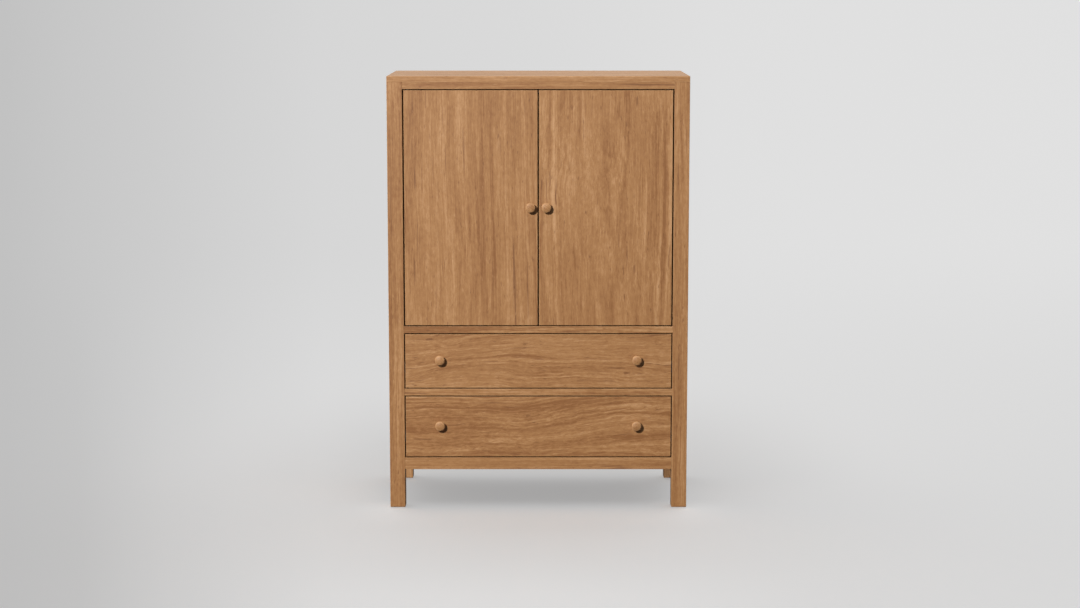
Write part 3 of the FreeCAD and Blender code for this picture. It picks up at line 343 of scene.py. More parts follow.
def make_room():
    world = bpy.data.worlds.new("studio_room")
    tree = emptied_tree(world)
    deep, up = axes(get(tree, "ShaderNodeTexCoord", output="Generated"))[1:]
    overhead = between(up, 0.45, 0.95) * ROOM_ABOVE
    strength = between(deep, -0.75, 0.75, ROOM_FRONT, ROOM_BACK).calc("MAXIMUM", overhead)
    sky = get(tree, "ShaderNodeBackground", {"Color": WHITE, "Strength": strength})
    wall = get(tree, "ShaderNodeBackground", {"Color": WHITE, "Strength": WALL_TONE})
    add(tree, "ShaderNodeOutputWorld", {"Surface": by_ray(tree, sky, wall)})
    bpy.context.scene.world = world


key_aim = Vector((0, case_front, KEY_AIM_HEIGHT)) - Vector(KEY_PLACE)
key_turn = key_aim.to_track_quat("-Z", "Y").to_euler()
key_light = area_light("key_light", KEY_PLACE, key_turn, KEY_WATTS, KEY_SIZE, KEY_COLOUR)
only_light(key_light, "not_lit_by_the_key", [floor], "EXCLUDE")
for name, (node, *light_sizes) in SMALL_LIGHTS.items():
    only_light(area_light(name, *light_sizes), f"lit_by_the_{name}", [frame["nodes"][node]])
make_room()
bpy.context.scene.view_settings.view_transform = "Standard"
print("key light", round(key_aim.length, 2), "m from the case")

# %% [markdown]
# ## Wood, as a solid
#
# Wood could be painted on each face, but then the grain would break at every edge. Real boards are cut from a
# solid log, so this recipe is solid too: it colours a point by where it lies in the log. The log's heart runs
# along the recipe's own Z axis. Slow noise bends the fibres, growth rings follow the distance from the heart,
# and noise that is stretched along the fibres gives streaks, dark lines, flecks and pores. Cut ends show
# rings and dots by themselves, and they are darkened, because end grain drinks more oil.

# %% The wood recipe: bent fibres and rings
WOOD_INPUTS = {
    "Place": "Vector", "Facing": "Vector", "Shift": "Vector", "Light wood": "Color", "Middle wood": "Color",
    "Dark wood": "Color", "Streak": "Color", "Bend": 0.012, "Ring width": 0.011, "Figure": 1.0, "Tone": 0.0,
    "Contrast": 1.0, "Curl": 0.05, "Bands": 0.12, "Lines": 0.62, "Pores": 1.0, "End darkening": 0.45,
}
WOOD_OUTPUTS = {"Colour": "Color", "Roughness": "Float", "Height": "Float"}


def scaled(vector, factor):
    return get(vector.tree, "ShaderNodeVectorMath", {0: vector, "Scale": factor}, operation="SCALE")


def push(place, across, along, weight):
    """A push of about the given weight, from noise around nought that is stretched along the fibres."""
    swirl = noise(place * (across, across, along), 1.2, output="Color")
    return scaled(swirl - (0.5, 0.5, 0.5), weight)


def bent_place(place, inputs):
    """The place, pushed sideways by noise, as fibres wander in a trunk: in long bends, ripples and curls."""
    bends = push(place, 3.0, 1.2, 1.0) + push(place, 15.0, 4.2, 0.20)
    pushes = bends + push(place, 52.0, 21.0, inputs["Curl"])
    return inputs["Place"] + scaled(pushes * (1, 1, 0), inputs["Bend"] * 6.0)


def ring_tone(bent, inputs):
    """Rings of uneven width: noise along one line, the distance from the heart."""
    length = get(bent.tree, "ShaderNodeVectorMath", {0: bent * (1, 1, 0)}, "Value", operation="LENGTH")
    settings = {"W": length / inputs["Ring width"], "Scale": 1.0, "Detail": 4.0, "Roughness": 0.62}
    return get(bent.tree, "ShaderNodeTexNoise", settings, noise_dimensions="1D")


print("wood takes", len(WOOD_INPUTS), "inputs")

# %% [markdown]
# The second half of the recipe adds up the tones. Each is a noise around one half, so half is taken off before
# they are added. Where a noise rises past a threshold it makes a mark: a reddish line, a fleck or a pore.

# %% The wood recipe: streaks, lines, flecks and pores
def long_noise(place, across, along, detail, roughness=0.5):
    """Noise that changes fast across the fibres and slowly along them, which is the place's Z."""
    return noise(place * (across, across, along), detail, roughness)


def centred(tone, weight):
    return (tone - 0.5) * weight


def body_tone(bent, shifted, place, inputs):
    """One number: 0 where the wood is darkest, 1 where it is lightest."""
    wide = centred(long_noise(shifted, 33.0, 1.5, 3.0, 0.58), 0.66)
    fine = centred(long_noise(shifted, 165.0, 4.0, 3.0, 0.6), 0.74)
    busy = between(long_noise(place, 13.0, 2.2, 1.5), 0.34, 0.66, 0.60, 1.32)
    figure = (centred(ring_tone(bent, inputs), inputs["Figure"]) + wide + fine) * busy
    tones = (
        (long_noise(shifted, 11.0, 0.7, 1.5), 0.34),
        (between(long_noise(shifted, 23.0, 0.8, 1.0), 0.40, 0.60), inputs["Bands"]),
        (long_noise(shifted, 330.0, 7.0, 2.0, 0.6), 0.70),
        (long_noise(shifted, 900.0, 22.0, 2.0, 0.6), 0.52),
        (long_noise(shifted, 92.0, 46.0, 2.5, 0.65), 0.56),
        (long_noise(place, 6.0, 2.4, 2.0, 0.55), 0.34),
    )
    for tone, weight in tones:
        figure = figure + centred(tone, weight)
    return inputs["Tone"] + 0.5 + figure * inputs["Contrast"]


def marks(shifted, place):
    """Shares of reddish lines, dark flecks, light flecks and pores."""
    grounds = between(long_noise(place, 9.0, 3.4, 1.0), 0.44, 0.60)
    lined = between(long_noise(shifted, 100.0, 2.6, 2.0), 0.62, 0.70) * grounds
    flecks = long_noise(shifted, 150.0, 30.0, 1.0)
    pores = between(long_noise(shifted, 1350.0, 60.0, 1.0), 0.60, 0.70)
    return lined, between(flecks, 0.69, 0.77), between(flecks, 0.30, 0.22), pores


def highlit_and_rubbed_edge(facing):
    """1 on a rounded edge, where the normal points between two faces: lightened there as a painted highlight,
    and partly as wear where hands rub it.
    """
    x, y, z = axes(facing.calc("ABSOLUTE"))
    return between(x.calc("MAXIMUM", y).calc("MAXIMUM", z), 0.985, 0.85)


def end_grain(facing):
    """1 on a face that is cut across the fibres."""
    return between(axes(facing)[2].calc("ABSOLUTE"), 0.72, 0.95)


print("marks defined")

# %% The wood recipe: put together
def group_sockets(tree, inputs, outputs):
    """Declares a group's inputs and outputs, each with a kind or a start number, and returns the inputs."""
    for way, sockets in (("INPUT", inputs), ("OUTPUT", outputs)):
        for name, start in sockets.items():
            kind = {float: "Float", int: "Int"}.get(type(start), start)
            socket = tree.interface.new_socket(name, in_out=way, socket_type=f"NodeSocket{kind}")
            if kind != start:
                socket.default_value = start
    return {socket.name: Value(tree, socket) for socket in add(tree, "NodeGroupInput").outputs}


def make_wood_recipe():
    tree = bpy.data.node_groups.new("solid_wood", "ShaderNodeTree")
    inputs = group_sockets(tree, WOOD_INPUTS, WOOD_OUTPUTS)
    place = inputs["Place"] + inputs["Shift"]
    bent = bent_place(place, inputs)
    shifted = bent + inputs["Shift"]
    tone = body_tone(bent, shifted, place, inputs)
    lined, dark_flecks, light_flecks, pores = marks(shifted, place)
    porous = pores * inputs["Pores"]
    end = end_grain(inputs["Facing"])
    lower = blend(between(tone, 0.0, 0.5, ends="LINEAR"), inputs["Dark wood"], inputs["Middle wood"])
    colour = blend(between(tone, 0.5, 1.0, ends="LINEAR"), lower, inputs["Light wood"])
    layers = (
        (lined * inputs["Lines"], "Streak"),
        (dark_flecks * 0.5, "Streak"),
        (light_flecks * 0.35, "Light wood"),
        (porous * 0.35, "Streak"),
        # Rounded edges are blended towards light wood: a painted highlight along the edge, partly also rubbed
        # wear.
        (highlit_and_rubbed_edge(inputs["Facing"]) * 0.55, "Light wood"),
        (end * inputs["End darkening"], "Dark wood"),
    )
    for share, layer in layers:
        colour = blend(share, colour, inputs[layer])
    rough = centred(tone, -0.10) + 0.47 + porous * 0.12 + end * 0.12
    height = centred(tone, 0.5) + porous * -0.8
    add(tree, "NodeGroupOutput", {"Colour": colour, "Roughness": rough, "Height": height})
    print("wood recipe:", len(tree.nodes), "nodes")
    return tree


WOOD_RECIPE = make_wood_recipe()

# %% [markdown]
# ## One cut of wood for each board
#
# Every board gets a material of its own: the same recipe, but another place in the log. A Mapping node turns
# the board so that its grain lies along the recipe's Z, and moves it away from the heart. A board whose heart
# lies far off shows straight stripes; a near heart with a slight tilt shows long pointed arches.

# %% Colours of the oiled wood
def wood_colours(*colours):
    """The colours for the recipe's four inputs, from light to dark and the streaks last."""
    labels = ("Light wood", "Middle wood", "Dark wood", "Streak")
    return {label: (*colour, 1) for label, colour in zip(labels, colours)}


OILED = wood_colours((0.494, 0.278, 0.134), (0.348, 0.171, 0.063), (0.228, 0.092, 0.026), (0.130, 0.042, 0.012))
TURN_GRAIN = {
    "x": Euler((0, math.radians(-90), 0)),
    "y": Euler((math.radians(90), 0, 0)),
    "z": Euler((0, 0, 0)),
}
SEED_STEPS = ((3.17, 7), (1.93, 5), (5.31, 11))


def finish_surface(tree, colour, rough, height, strength, depth, constants):
    """The Principled shader with a bump, and the material's output."""
    bump = get(tree, "ShaderNodeBump", {"Height": height, "Strength": strength, "Distance": depth})
    looks = {"Base Color": colour, "Roughness": rough, "Normal": bump, **constants}
    add(tree, "ShaderNodeOutputMaterial", {"Surface": get(tree, "ShaderNodeBsdfPrincipled", looks)})


def cut_wood(name, grain, heart, seed, colours=OILED, tilt=(0.0, 0.0), settings=None):
    """A material for one board. heart is where the log's heart lies, across the grain, from the origin."""
    material = bpy.data.materials.new(name)
    tree = emptied_tree(material)
    place, normal = (get(tree, "ShaderNodeTexCoord", output=label) for label in ("Object", "Normal"))
    lean = Euler((math.radians(tilt[0]), math.radians(tilt[1]), 0))
    turn = (lean.to_matrix() @ TURN_GRAIN[grain].to_matrix()).to_euler()
    placed = get(tree, "ShaderNodeMapping", {"Vector": place, "Location": (*heart, 0), "Rotation": turn},
                 vector_type="POINT")
    facing = get(tree, "ShaderNodeMapping", {"Vector": normal, "Rotation": turn}, vector_type="NORMAL")
    shift = tuple(seed * step % limit for step, limit in SEED_STEPS)
    inputs = {"Place": placed, "Facing": facing, "Shift": shift, **colours, **(settings or {})}
    wood = add(tree, "ShaderNodeGroup", inputs, node_tree=WOOD_RECIPE)
    colour, rough, height = (Value(tree, socket) for socket in wood.outputs)
    finish_surface(tree, colour, rough, height, 0.35, 0.0004, {"IOR": 1.48})
    return material


def dress(node_name, material):
    """Gives a CAD node's object a new material in all its slots."""
    piece = frame["nodes"][node_name]
    for slot in piece.material_slots:
        slot.material = material
    if not piece.material_slots:
        piece.data.materials.append(material)


print("oiled wood colours:", len(OILED))

# %% [markdown]
# The doors and drawer fronts are what the eye rests on. The doors' grain stands upright and the drawers' lies
# across, and their figure is stronger than the frame's. Legs and rails are cut from straight, calm wood.

# %% Wood for the doors and the drawer fronts
CALM = {"Bend": 0.006, "Figure": 0.40, "Ring width": 0.010, "Contrast": 1.05}
DOOR = {"Bend": 0.008, "Figure": 0.50, "Ring width": 0.016, "Contrast": 1.10, "Curl": 0.06, "Tone": -0.06,
        "Bands": 0.19}
FLAMED = {"Bend": 0.011, "Figure": 0.66, "Ring width": 0.016, "Contrast": 1.04, "Curl": 0.09, "Tone": -0.07,
          "Bands": 0.20}
DRAWER = {"Bend": 0.026, "Figure": 0.80, "Ring width": 0.013, "Contrast": 1.12, "Curl": 0.06, "Tone": -0.065}
FRONTS = {
    "left_door_leaf": ("left_door_wood", "z", (0.62, 0.55), 1, (0.4, 0.3), DOOR),
    "right_door_leaf": ("right_door_wood", "z", (-0.27, 0.42), 2, (2.6, 0.6), FLAMED),
    "upper_drawer_front": ("upper_drawer_wood", "x", (-0.70, 0.52), 3, (1.2, 1.5), DRAWER),
    "lower_drawer_front": ("lower_drawer_wood", "x", (-0.42, 0.50), 4, (-1.0, 2.0),
                           {**DRAWER, "Contrast": 1.32, "Tone": -0.15}),
}
for node, (name, grain, heart, seed, tilt, settings) in FRONTS.items():
    dress(node, cut_wood(name, grain, heart, seed, tilt=tilt, settings=settings))
print(len(FRONTS), "doors and drawer fronts dressed")

# %% Wood for the frame, the sides and the shelf
FIRST_BOARD_SEED = 11
BOARDS = {
    "top_panel": ("x", (1.2, 0.4), {"Tone": -0.02}),
    "front_left_leg": ("z", (0.9, 0.5), {"Tone": -0.18, "Contrast": 1.36}),
    "front_right_leg": ("z", (-0.9, 0.5), {"Tone": -0.09, "Contrast": 1.2}),
    "rear_left_leg": ("z", (0.9, -0.6), {"Tone": 0.06}),
    "rear_right_leg": ("z", (-0.9, -0.6), {}),
    "top_front_rail": ("x", (-1.3, 0.5), {"Tone": -0.18, "Contrast": 1.15}),
    "middle_front_rail": ("x", (-0.3, 0.5), {"Tone": -0.31, "Contrast": 1.7}),
    "divider_front_rail": ("x", (-0.8, 0.6), {"Tone": 0.05, "Contrast": 1.4}),
    "bottom_front_rail": ("x", (-0.5, 0.5), {"Tone": -0.06, "Contrast": 1.1}),
    "left_side_rails": ("y", (0.9, 0.4), {}),
    "right_side_rails": ("y", (-0.9, 0.4), {}),
    "left_side_panel": ("z", (0.80, -0.1), DOOR),
    "right_side_panel": ("z", (-0.80, 0.1), DOOR),
    "cabinet_floor": ("x", (-0.9, -0.1), {"Tone": 0.05}),
    "bottom_panel": ("x", (-0.4, 0.1), {"Tone": 0.05}),
    "rear_top_rail": ("x", (-1.3, -0.5), {}),
    "rear_middle_rail": ("x", (-0.9, -0.5), {}),
    "rear_bottom_rail": ("x", (-0.5, -0.5), {}),
    "shelf": ("x", (-1.2, 0.1), {"Tone": 0.03}),
    "top_dowels": ("z", (0.3, 0.4), {"Tone": 0.2}),
}
for seed, (node, (grain, heart, settings)) in enumerate(BOARDS.items(), FIRST_BOARD_SEED):
    dress(node, cut_wood(f"{node}_wood", grain, heart, seed, settings={**CALM, **settings}))
print(len(BOARDS), "boards dressed")

# %% [markdown]
# Drawer boxes are made of a paler, cheaper wood that is only varnished, and the backs are thin veneered boards
# with upright grain and hardly any gloss. Both use the same recipe with other colours.

# %% Wood for the drawer boxes and the backs
PALE = wood_colours((0.66, 0.47, 0.27), (0.56, 0.375, 0.195), (0.40, 0.24, 0.112), (0.30, 0.16, 0.07))
BACKING = wood_colours((0.455, 0.262, 0.12), (0.36, 0.188, 0.078), (0.255, 0.12, 0.044), (0.14, 0.062, 0.024))
SMOOTH = {"Bend": 0.005, "Figure": 0.35, "Ring width": 0.008, "Lines": 0.35, "Pores": 0.6}
BOX_BOARDS = (("left_side", "y"), ("right_side", "y"), ("back", "x"), ("bottom", "x"))

for drawer, first_seed in (("upper", 40), ("lower", 50)):
    for i, (side, grain) in enumerate(BOX_BOARDS):
        node = f"{drawer}_drawer_{side}"
        heart = (0.8 - 0.3 * i, 0.45)
        dress(node, cut_wood(f"{node}_wood", grain, heart, first_seed + i, PALE, settings=SMOOTH))
dress("slide_packers", cut_wood("packer_wood", "y", (0.6, 0.5), 60, PALE, settings=SMOOTH))
for half, heart, seed in (("upper", (0.3, -0.7), 61), ("lower", (0.5, -0.7), 62)):
    settings = {**DOOR, "Contrast": 0.9}
    dress(f"{half}_back_panel", cut_wood(f"{half}_back_wood", "z", heart, seed, BACKING, settings=settings))
print("drawer boxes and backs dressed")

# %% [markdown]
# ## Metal and plastic
#
# Zinc, nickel and brass are all the Principled shader with Metallic at 1. What tells them apart is their tint,
# how rough they are and which way they were brushed, so one function makes them all. Stretched noise gives the
# brushed streaks, and slow noise clouds the plating, as handling does. Moulded plastic has a fine spark-eroded
# grain, which is a bump, not a colour.

# %% Metal and plastic
def start_material(name):
    material = bpy.data.materials.new(name)
    tree = emptied_tree(material)
    return material, tree, get(tree, "ShaderNodeTexCoord", output="Object")


def make_metal(name, pale, deep, brushing, smooth, rough):
    """brushing scales the streaks' noise along X, Y and Z: the smallest number is the way it was brushed."""
    material, tree, place = start_material(name)
    streaks = noise(place * brushing, 3.0, 0.6)
    clouds = noise(place, 3.0, 0.55, scale=38.0)
    colour = blend(between(clouds + centred(streaks, 0.5), 0.3, 0.7), (*deep, 1), (*pale, 1))
    worn = between(clouds + centred(streaks, 0.8), 0.25, 0.75, smooth, rough)
    finish_surface(tree, colour, worn, streaks, 0.25, 0.00008, {"Metallic": 1.0})
    return material


def make_plastic(name, pale, deep):
    material, tree, place = start_material(name)
    clouds = noise(place, 2.0, 0.5, scale=60.0)
    grit = noise(place, 2.0, 0.6, scale=2600.0)
    colour = blend(between(clouds, 0.3, 0.7), (*deep, 1), (*pale, 1))
    rough = between(grit, 0.3, 0.7, 0.40, 0.58)
    finish_surface(tree, colour, rough, grit, 0.3, 0.0001, {"IOR": 1.5})
    return material


zinc = make_metal("zinc_plated_steel", (0.66, 0.66, 0.65), (0.50, 0.51, 0.53), (800, 9, 800), 0.24, 0.42)
nickel = make_metal("satin_nickel", (0.62, 0.58, 0.52), (0.50, 0.46, 0.41), (60, 900, 900), 0.26, 0.40)
bright_zinc = make_metal("bright_zinc", (0.68, 0.67, 0.64), (0.48, 0.48, 0.49), (500, 500, 500), 0.22, 0.38)
brass = make_metal("turned_brass", (0.80, 0.58, 0.27), (0.66, 0.44, 0.18), (60, 60, 1200), 0.20, 0.36)
browned = make_metal("browned_steel", (0.115, 0.090, 0.070), (0.070, 0.055, 0.045), (60, 900, 900), 0.34, 0.50)
dark_plastic = make_plastic("dark_plastic", (0.030, 0.026, 0.023), (0.016, 0.014, 0.013))
FITTINGS = {
    "left_door_strike": nickel, "right_door_strike": nickel, "shelf_pins": nickel, "pivot_plates": browned,
    "left_door_sockets": brass, "right_door_sockets": brass, "cable_grommets": dark_plastic,
    "leg_glides": dark_plastic, "door_catch": dark_plastic,
}
for node, material in FITTINGS.items():
    dress(node, material)
for drawer in ("upper", "lower"):
    for member in ("outer", "middle", "inner"):
        dress(f"{drawer}_slide_{member}_members", zinc)
print("metals and plastics:", [m.name for m in (zinc, nickel, bright_zinc, brass, browned, dark_plastic)])

# %% [markdown]
# ## Where the small things stand
#
# The CAD model already says where each screw and knob goes, but as loose triangles in one mesh. Merging a
# copy's doubled corners and walking from corner to corner splits it into separate solids. Each solid's longest
# way and its thicker end then give a screw's direction, its head and its length.

# %% Helpers to read places from the CAD
BODY_OF = {node: body for body, nodes in frame["record"]["behaviour"]["bodies"].items() for node in nodes}
DOUBLED = 1e-5


def solids_in(node):
    """The corner points of each separate solid in a CAD node."""
    shape = bmesh.new()
    shape.from_mesh(frame["nodes"][node].data)
    bmesh.ops.remove_doubles(shape, verts=shape.verts, dist=DOUBLED)
    waiting = set(shape.verts)
    solids = []
    while waiting:
        edge_of_walk = [waiting.pop()]
        points = []
        while edge_of_walk:
            corner = edge_of_walk.pop()
            points.append(corner.co.copy())
            near = [edge.other_vert(corner) for edge in corner.link_edges]
            fresh = [other for other in near if other in waiting]
            waiting.difference_update(fresh)
            edge_of_walk.extend(fresh)
        solids.append(points)
    shape.free()
    return solids


def extent(points):
    """The low and the high corner of the box round some points."""
    return [Vector([end(point[axis] for point in points) for axis in range(3)]) for end in (min, max)]


def keep_piece(name, mesh, node, material=None):
    """A finished piece that rides on the CAD node's body and stands in for the node, which is hidden."""
    mesh.name = name
    piece = put(name, mesh)
    if material:
        piece.data.materials.clear()
        piece.data.materials.append(material)
    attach(piece, BODY_OF[node])
    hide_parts(node)
    return piece


print(len(solids_in("case_screws")), "screws in the case")

# %% [markdown]
# ## Geometry Nodes, baked
#
# Whatever repeats is made by a Geometry Nodes tree: points say where, and the tree puts a copy on each. The
# export keeps only plain meshes, so each tree ends in Realize Instances, and the result is baked into a mesh.
# `bake` puts the tree on a host object for a moment, fills its inputs, and takes the evaluated mesh away.

# %% Helpers for Geometry Nodes
def points_mesh(name, places, **attributes):
    """A mesh of loose points, with a number or a vector for each under every attribute's name."""
    mesh = bpy.data.meshes.new(name)
    mesh.from_pydata([tuple(place) for place in places], [], [])
    for label, values in attributes.items():
        if isinstance(values[0], float):
            mesh.attributes.new(label, "FLOAT", "POINT").data.foreach_set("value", values)
        else:
            numbers = [number for value in values for number in value]
            mesh.attributes.new(label, "FLOAT_VECTOR", "POINT").data.foreach_set("vector", numbers)
    return mesh


def bake(tree, mesh, values):
    """Runs a tree on a mesh of points and gives back the mesh that it makes."""
    host = put("host", mesh)
    modifier = host.modifiers.new("tree", "NODES")
    modifier.node_group = tree
    for item in tree.interface.items_tree:
        if item.item_type == "SOCKET" and item.in_out == "INPUT" and item.name in values:
            modifier[item.identifier] = values[item.name]
    bpy.context.view_layer.update()
    evaluated = host.evaluated_get(bpy.context.evaluated_depsgraph_get())
    baked = bpy.data.meshes.new_from_object(evaluated)
    bpy.data.objects.remove(host)
    return baked


def start_tree(name, inputs):
    """A Geometry Nodes tree with geometry in and out and the named inputs."""
    tree = bpy.data.node_groups.new(name, "GeometryNodeTree")
    return tree, group_sockets(tree, {"Geometry": "Geometry", **inputs}, {"Geometry": "Geometry"})


def copies_on(tree, points, pattern, **settings):
    filling = {"Points": points, "Instance": pattern, **settings}
    return get(tree, "GeometryNodeInstanceOnPoints", filling)


def finish_tree(tree, instances, material):
    real = get(tree, "GeometryNodeRealizeInstances", {"Geometry": instances})
    dressed = get(tree, "GeometryNodeSetMaterial", {"Geometry": real, "Material": material})
    add(tree, "NodeGroupOutput", {"Geometry": dressed})
    print(tree.name, "has", len(tree.nodes), "nodes")
    return tree


print("tree helpers ready")

# %% [markdown]
# ## The knobs
#
# A knob is turned on a lathe, so its shape follows one rule: a profile swept round an axis. Spin would do, but
# a tree keeps the sizes as inputs. A flat grid is rolled up: one side becomes the angle, the other walks along
# the profile, and two Float Curves give the radius and the height there. Merging closes the seam and the poles.
# The profile has a waisted neck, a full round rim and a crowned face.

# %% The knobs' profile and tree
KNOB_PROFILE = (
    (0.0, 0.0), (0.40, 0.0), (0.568, 0.012), (0.56, 0.08), (0.50, 0.18), (0.53, 0.29), (0.69, 0.40),
    (0.885, 0.485), (0.975, 0.575), (1.0, 0.66), (0.978, 0.755), (0.900, 0.842), (0.755, 0.907), (0.50, 0.960),
    (0.25, 0.988), (0.0, 1.0),
)
SEAM = 0.000002


def profile_curve(along, column):
    """One column of the profile, the radius or the height, as a curve over the way along it."""
    curve = add(along.tree, "ShaderNodeFloatCurve", {"Value": along})
    points = curve.mapping.curves[0].points
    last = len(KNOB_PROFILE) - 1
    for step, row in enumerate(KNOB_PROFILE):
        place = (step / last, row[column])
        if step in (0, last):
            points[0 if step == 0 else -1].location = place
        else:
            points.new(*place)
    curve.mapping.update()
    return Value(along.tree, curve.outputs[0])


def make_knob_tree():
    tree, inputs = start_tree("turned_knob", {"Width": 0.037, "Projection": 0.026, "Steps round": 72,
                                              "Steps along": 57, "Material": "Material"})
    sheet = get(tree, "GeometryNodeMeshGrid", {
        "Size X": 1.0, "Size Y": 1.0, "Vertices X": inputs["Steps round"], "Vertices Y": inputs["Steps along"]})
    x, y = axes(get(tree, "GeometryNodeInputPosition"))[:2]
    turn = (x + 0.5) * math.tau
    along = y + 0.5
    radius = profile_curve(along, 0) * (inputs["Width"] * 0.5)
    rolled = xyz(tree, X=turn.calc("COSINE") * radius, Y=turn.calc("SINE") * radius,
                 Z=profile_curve(along, 1) * inputs["Projection"])
    lathed = get(tree, "GeometryNodeSetPosition", {"Geometry": sheet, "Position": rolled})
    closed = get(tree, "GeometryNodeMergeByDistance", {"Geometry": lathed, "Distance": SEAM})
    smooth = get(tree, "GeometryNodeSetShadeSmooth", {"Geometry": closed})
    knobs = copies_on(tree, inputs["Geometry"], smooth, Rotation=(math.radians(90), 0, 0))
    return finish_tree(tree, knobs, inputs["Material"])


KNOB_TREE = make_knob_tree()

# %% Turn the knobs
KNOB_LIGHT = ((0.9, -1.3, 4.2), (0, 0, 0), 20.0, 1.2, (1.0, 0.98, 0.95))
KNOB_WOOD = {"Bend": 0.004, "Figure": 0.7, "Ring width": 0.004, "Contrast": 0.9, "Pores": 0.5, "Tone": -0.02,
             "End darkening": 0.10}

knob_wood = cut_wood("knob_wood", "y", (0.55, 0.3), 70, settings=KNOB_WOOD)
turned_knobs = []
for node in ("left_door_knob", "right_door_knob", "upper_drawer_knobs", "lower_drawer_knobs"):
    ends = [extent(points) for points in solids_in(node)]
    feet = [((low.x + high.x) / 2, high.y, (low.z + high.z) / 2) for low, high in ends]
    size = ends[0][1] - ends[0][0]
    sizes = {"Width": size.x, "Projection": size.y, "Material": knob_wood}
    baked = bake(KNOB_TREE, points_mesh(node + "_feet", feet), sizes)
    turned_knobs.append(keep_piece("turned_" + node, baked, node))
    print(node, len(feet), "knobs", len(baked.polygons), "faces")
only_light(area_light("knob_light", *KNOB_LIGHT), "lit_by_the_knob_light", turned_knobs)

# %% [markdown]
# ## The screws
#
# Every screw head has a cross recess, which is what the eye looks for in a screw. The head is drawn once in
# mesh code: a ring, a cross-shaped pit with leaning walls, and a side that tapers (flat heads) or rounds over
# (pan heads). A tree sets a head and a shank on each point, turns it to its board and gives it a chance turn.

# %% Screw heads and shanks
RECESS_REACH = 0.52
RECESS_HALF_WIDTH = 0.12
RECESS_DEPTH = 0.42
FLAT_HEAD = ((1.0, 0.0), (0.97, -0.05), (0.5, -0.62))
PAN_HEAD = ((0.66, 0.0), (0.86, -0.10), (0.97, -0.28), (1.0, -0.52), (0.45, -0.53))
SHANK = ((1.0, 0.0), (1.0, -0.86), (0.12, -1.0))


def ring_of(shape, radius, height, sides=20):
    turns = [math.tau * i / sides for i in range(sides)]
    return [shape.verts.new((radius * math.cos(turn), radius * math.sin(turn), height)) for turn in turns]


def around(loop):
    """Each corner of a loop with the next one."""
    return zip(loop, loop[1:] + loop[:1])


def join_rings(shape, first, second):
    for (a, b), (c, d) in zip(around(first), around(second)):
        shape.faces.new((a, b, d, c))


def join_rows(shape, rings):
    for first, second in zip(rings, rings[1:]):
        join_rings(shape, first, second)


def pattern_object(shape, name):
    bmesh.ops.recalc_face_normals(shape, faces=shape.faces)
    return put(name, to_mesh(shape, name))


def head_shape(name, rows):
    """A screw head of radius 1 whose face is at z = 0, with a cross-shaped pit."""
    shape = bmesh.new()
    rings = [ring_of(shape, radius, height) for radius, height in rows]
    a, b = RECESS_REACH, RECESS_HALF_WIDTH
    outline = []
    for x, y in ((1, 0), (0, 1), (-1, 0), (0, -1)):
        outline += [(a * x + b * y, a * y - b * x), (a * x - b * y, a * y + b * x), (b * (x - y), b * (x + y))]
    mouth = [shape.verts.new((x, y, rows[0][1])) for x, y in outline]
    pit = [shape.verts.new((x * 0.55, y * 0.7, rows[0][1] - RECESS_DEPTH)) for x, y in outline]
    join_rings(shape, mouth, pit)
    shape.faces.new(pit)
    edges = [shape.edges.new(pair) for pair in around(rings[0])]
    edges += [edge for edge in shape.edges if edge.verts[0] in mouth and edge.verts[1] in mouth]
    bmesh.ops.triangle_fill(shape, use_beauty=True, edges=edges)
    join_rows(shape, rings)
    shape.faces.new(rings[-1])
    return pattern_object(shape, name)


def shank_shape(name):
    """A shank of radius 1 and length 1 below z = 0, with a pointed tip."""
    shape = bmesh.new()
    rings = [ring_of(shape, radius, height, 10) for radius, height in SHANK]
    join_rows(shape, rings)
    for end in (rings[0], rings[-1]):
        shape.faces.new(end)
    return pattern_object(shape, name)


PATTERNS = {
    "Flat head": head_shape("flat_screw_head", FLAT_HEAD),
    "Pan head": head_shape("pan_screw_head", PAN_HEAD),
    "Shank": shank_shape("screw_shank"),
}
print("faces:", {label: len(pattern.data.polygons) for label, pattern in PATTERNS.items()})

# %% The tree that sets the screws
def named(tree, label, kind="FLOAT"):
    return get(tree, "GeometryNodeInputNamedAttribute", {"Name": label}, "Attribute", data_type=kind)


def make_screw_tree():
    tree, inputs = start_tree("set_screws", {"Flat head": "Object", "Pan head": "Object", "Shank": "Object",
                                             "Seed": 5, "Material": "Material"})
    facing = get(tree, "FunctionNodeEulerToRotation", {0: named(tree, "facing", "FLOAT_VECTOR")})
    spin = get(tree, "FunctionNodeRandomValue", {"Min": 0.0, "Max": math.tau, "Seed": inputs["Seed"]}, "Value",
               data_type="FLOAT")
    turned = get(tree, "FunctionNodeRotateRotation", {0: facing, 1: xyz(tree, Z=spin)}, rotation_space="LOCAL")
    joined = add(tree, "GeometryNodeJoinGeometry")
    pan, radius = named(tree, "pan"), named(tree, "head_radius")
    sets = {
        "Flat head": {"Selection": pan.calc("LESS_THAN", 0.5), "Scale": radius},
        "Pan head": {"Selection": pan.calc("GREATER_THAN", 0.5), "Scale": radius},
        "Shank": {"Scale": named(tree, "shank_size", "FLOAT_VECTOR")},
    }
    for label, settings in sets.items():
        pattern = get(tree, "GeometryNodeObjectInfo", {"Object": inputs[label]}, "Geometry")
        feed(tree, joined.inputs[0], copies_on(tree, inputs["Geometry"], pattern, Rotation=turned, **settings))
    return finish_tree(tree, Value(tree, joined.outputs[0]), inputs["Material"])


SCREW_TREE = make_screw_tree()

# %% Set the screws
NEAR_ENOUGH = 0.0004
PAN_FROM_RADIUS = 0.004


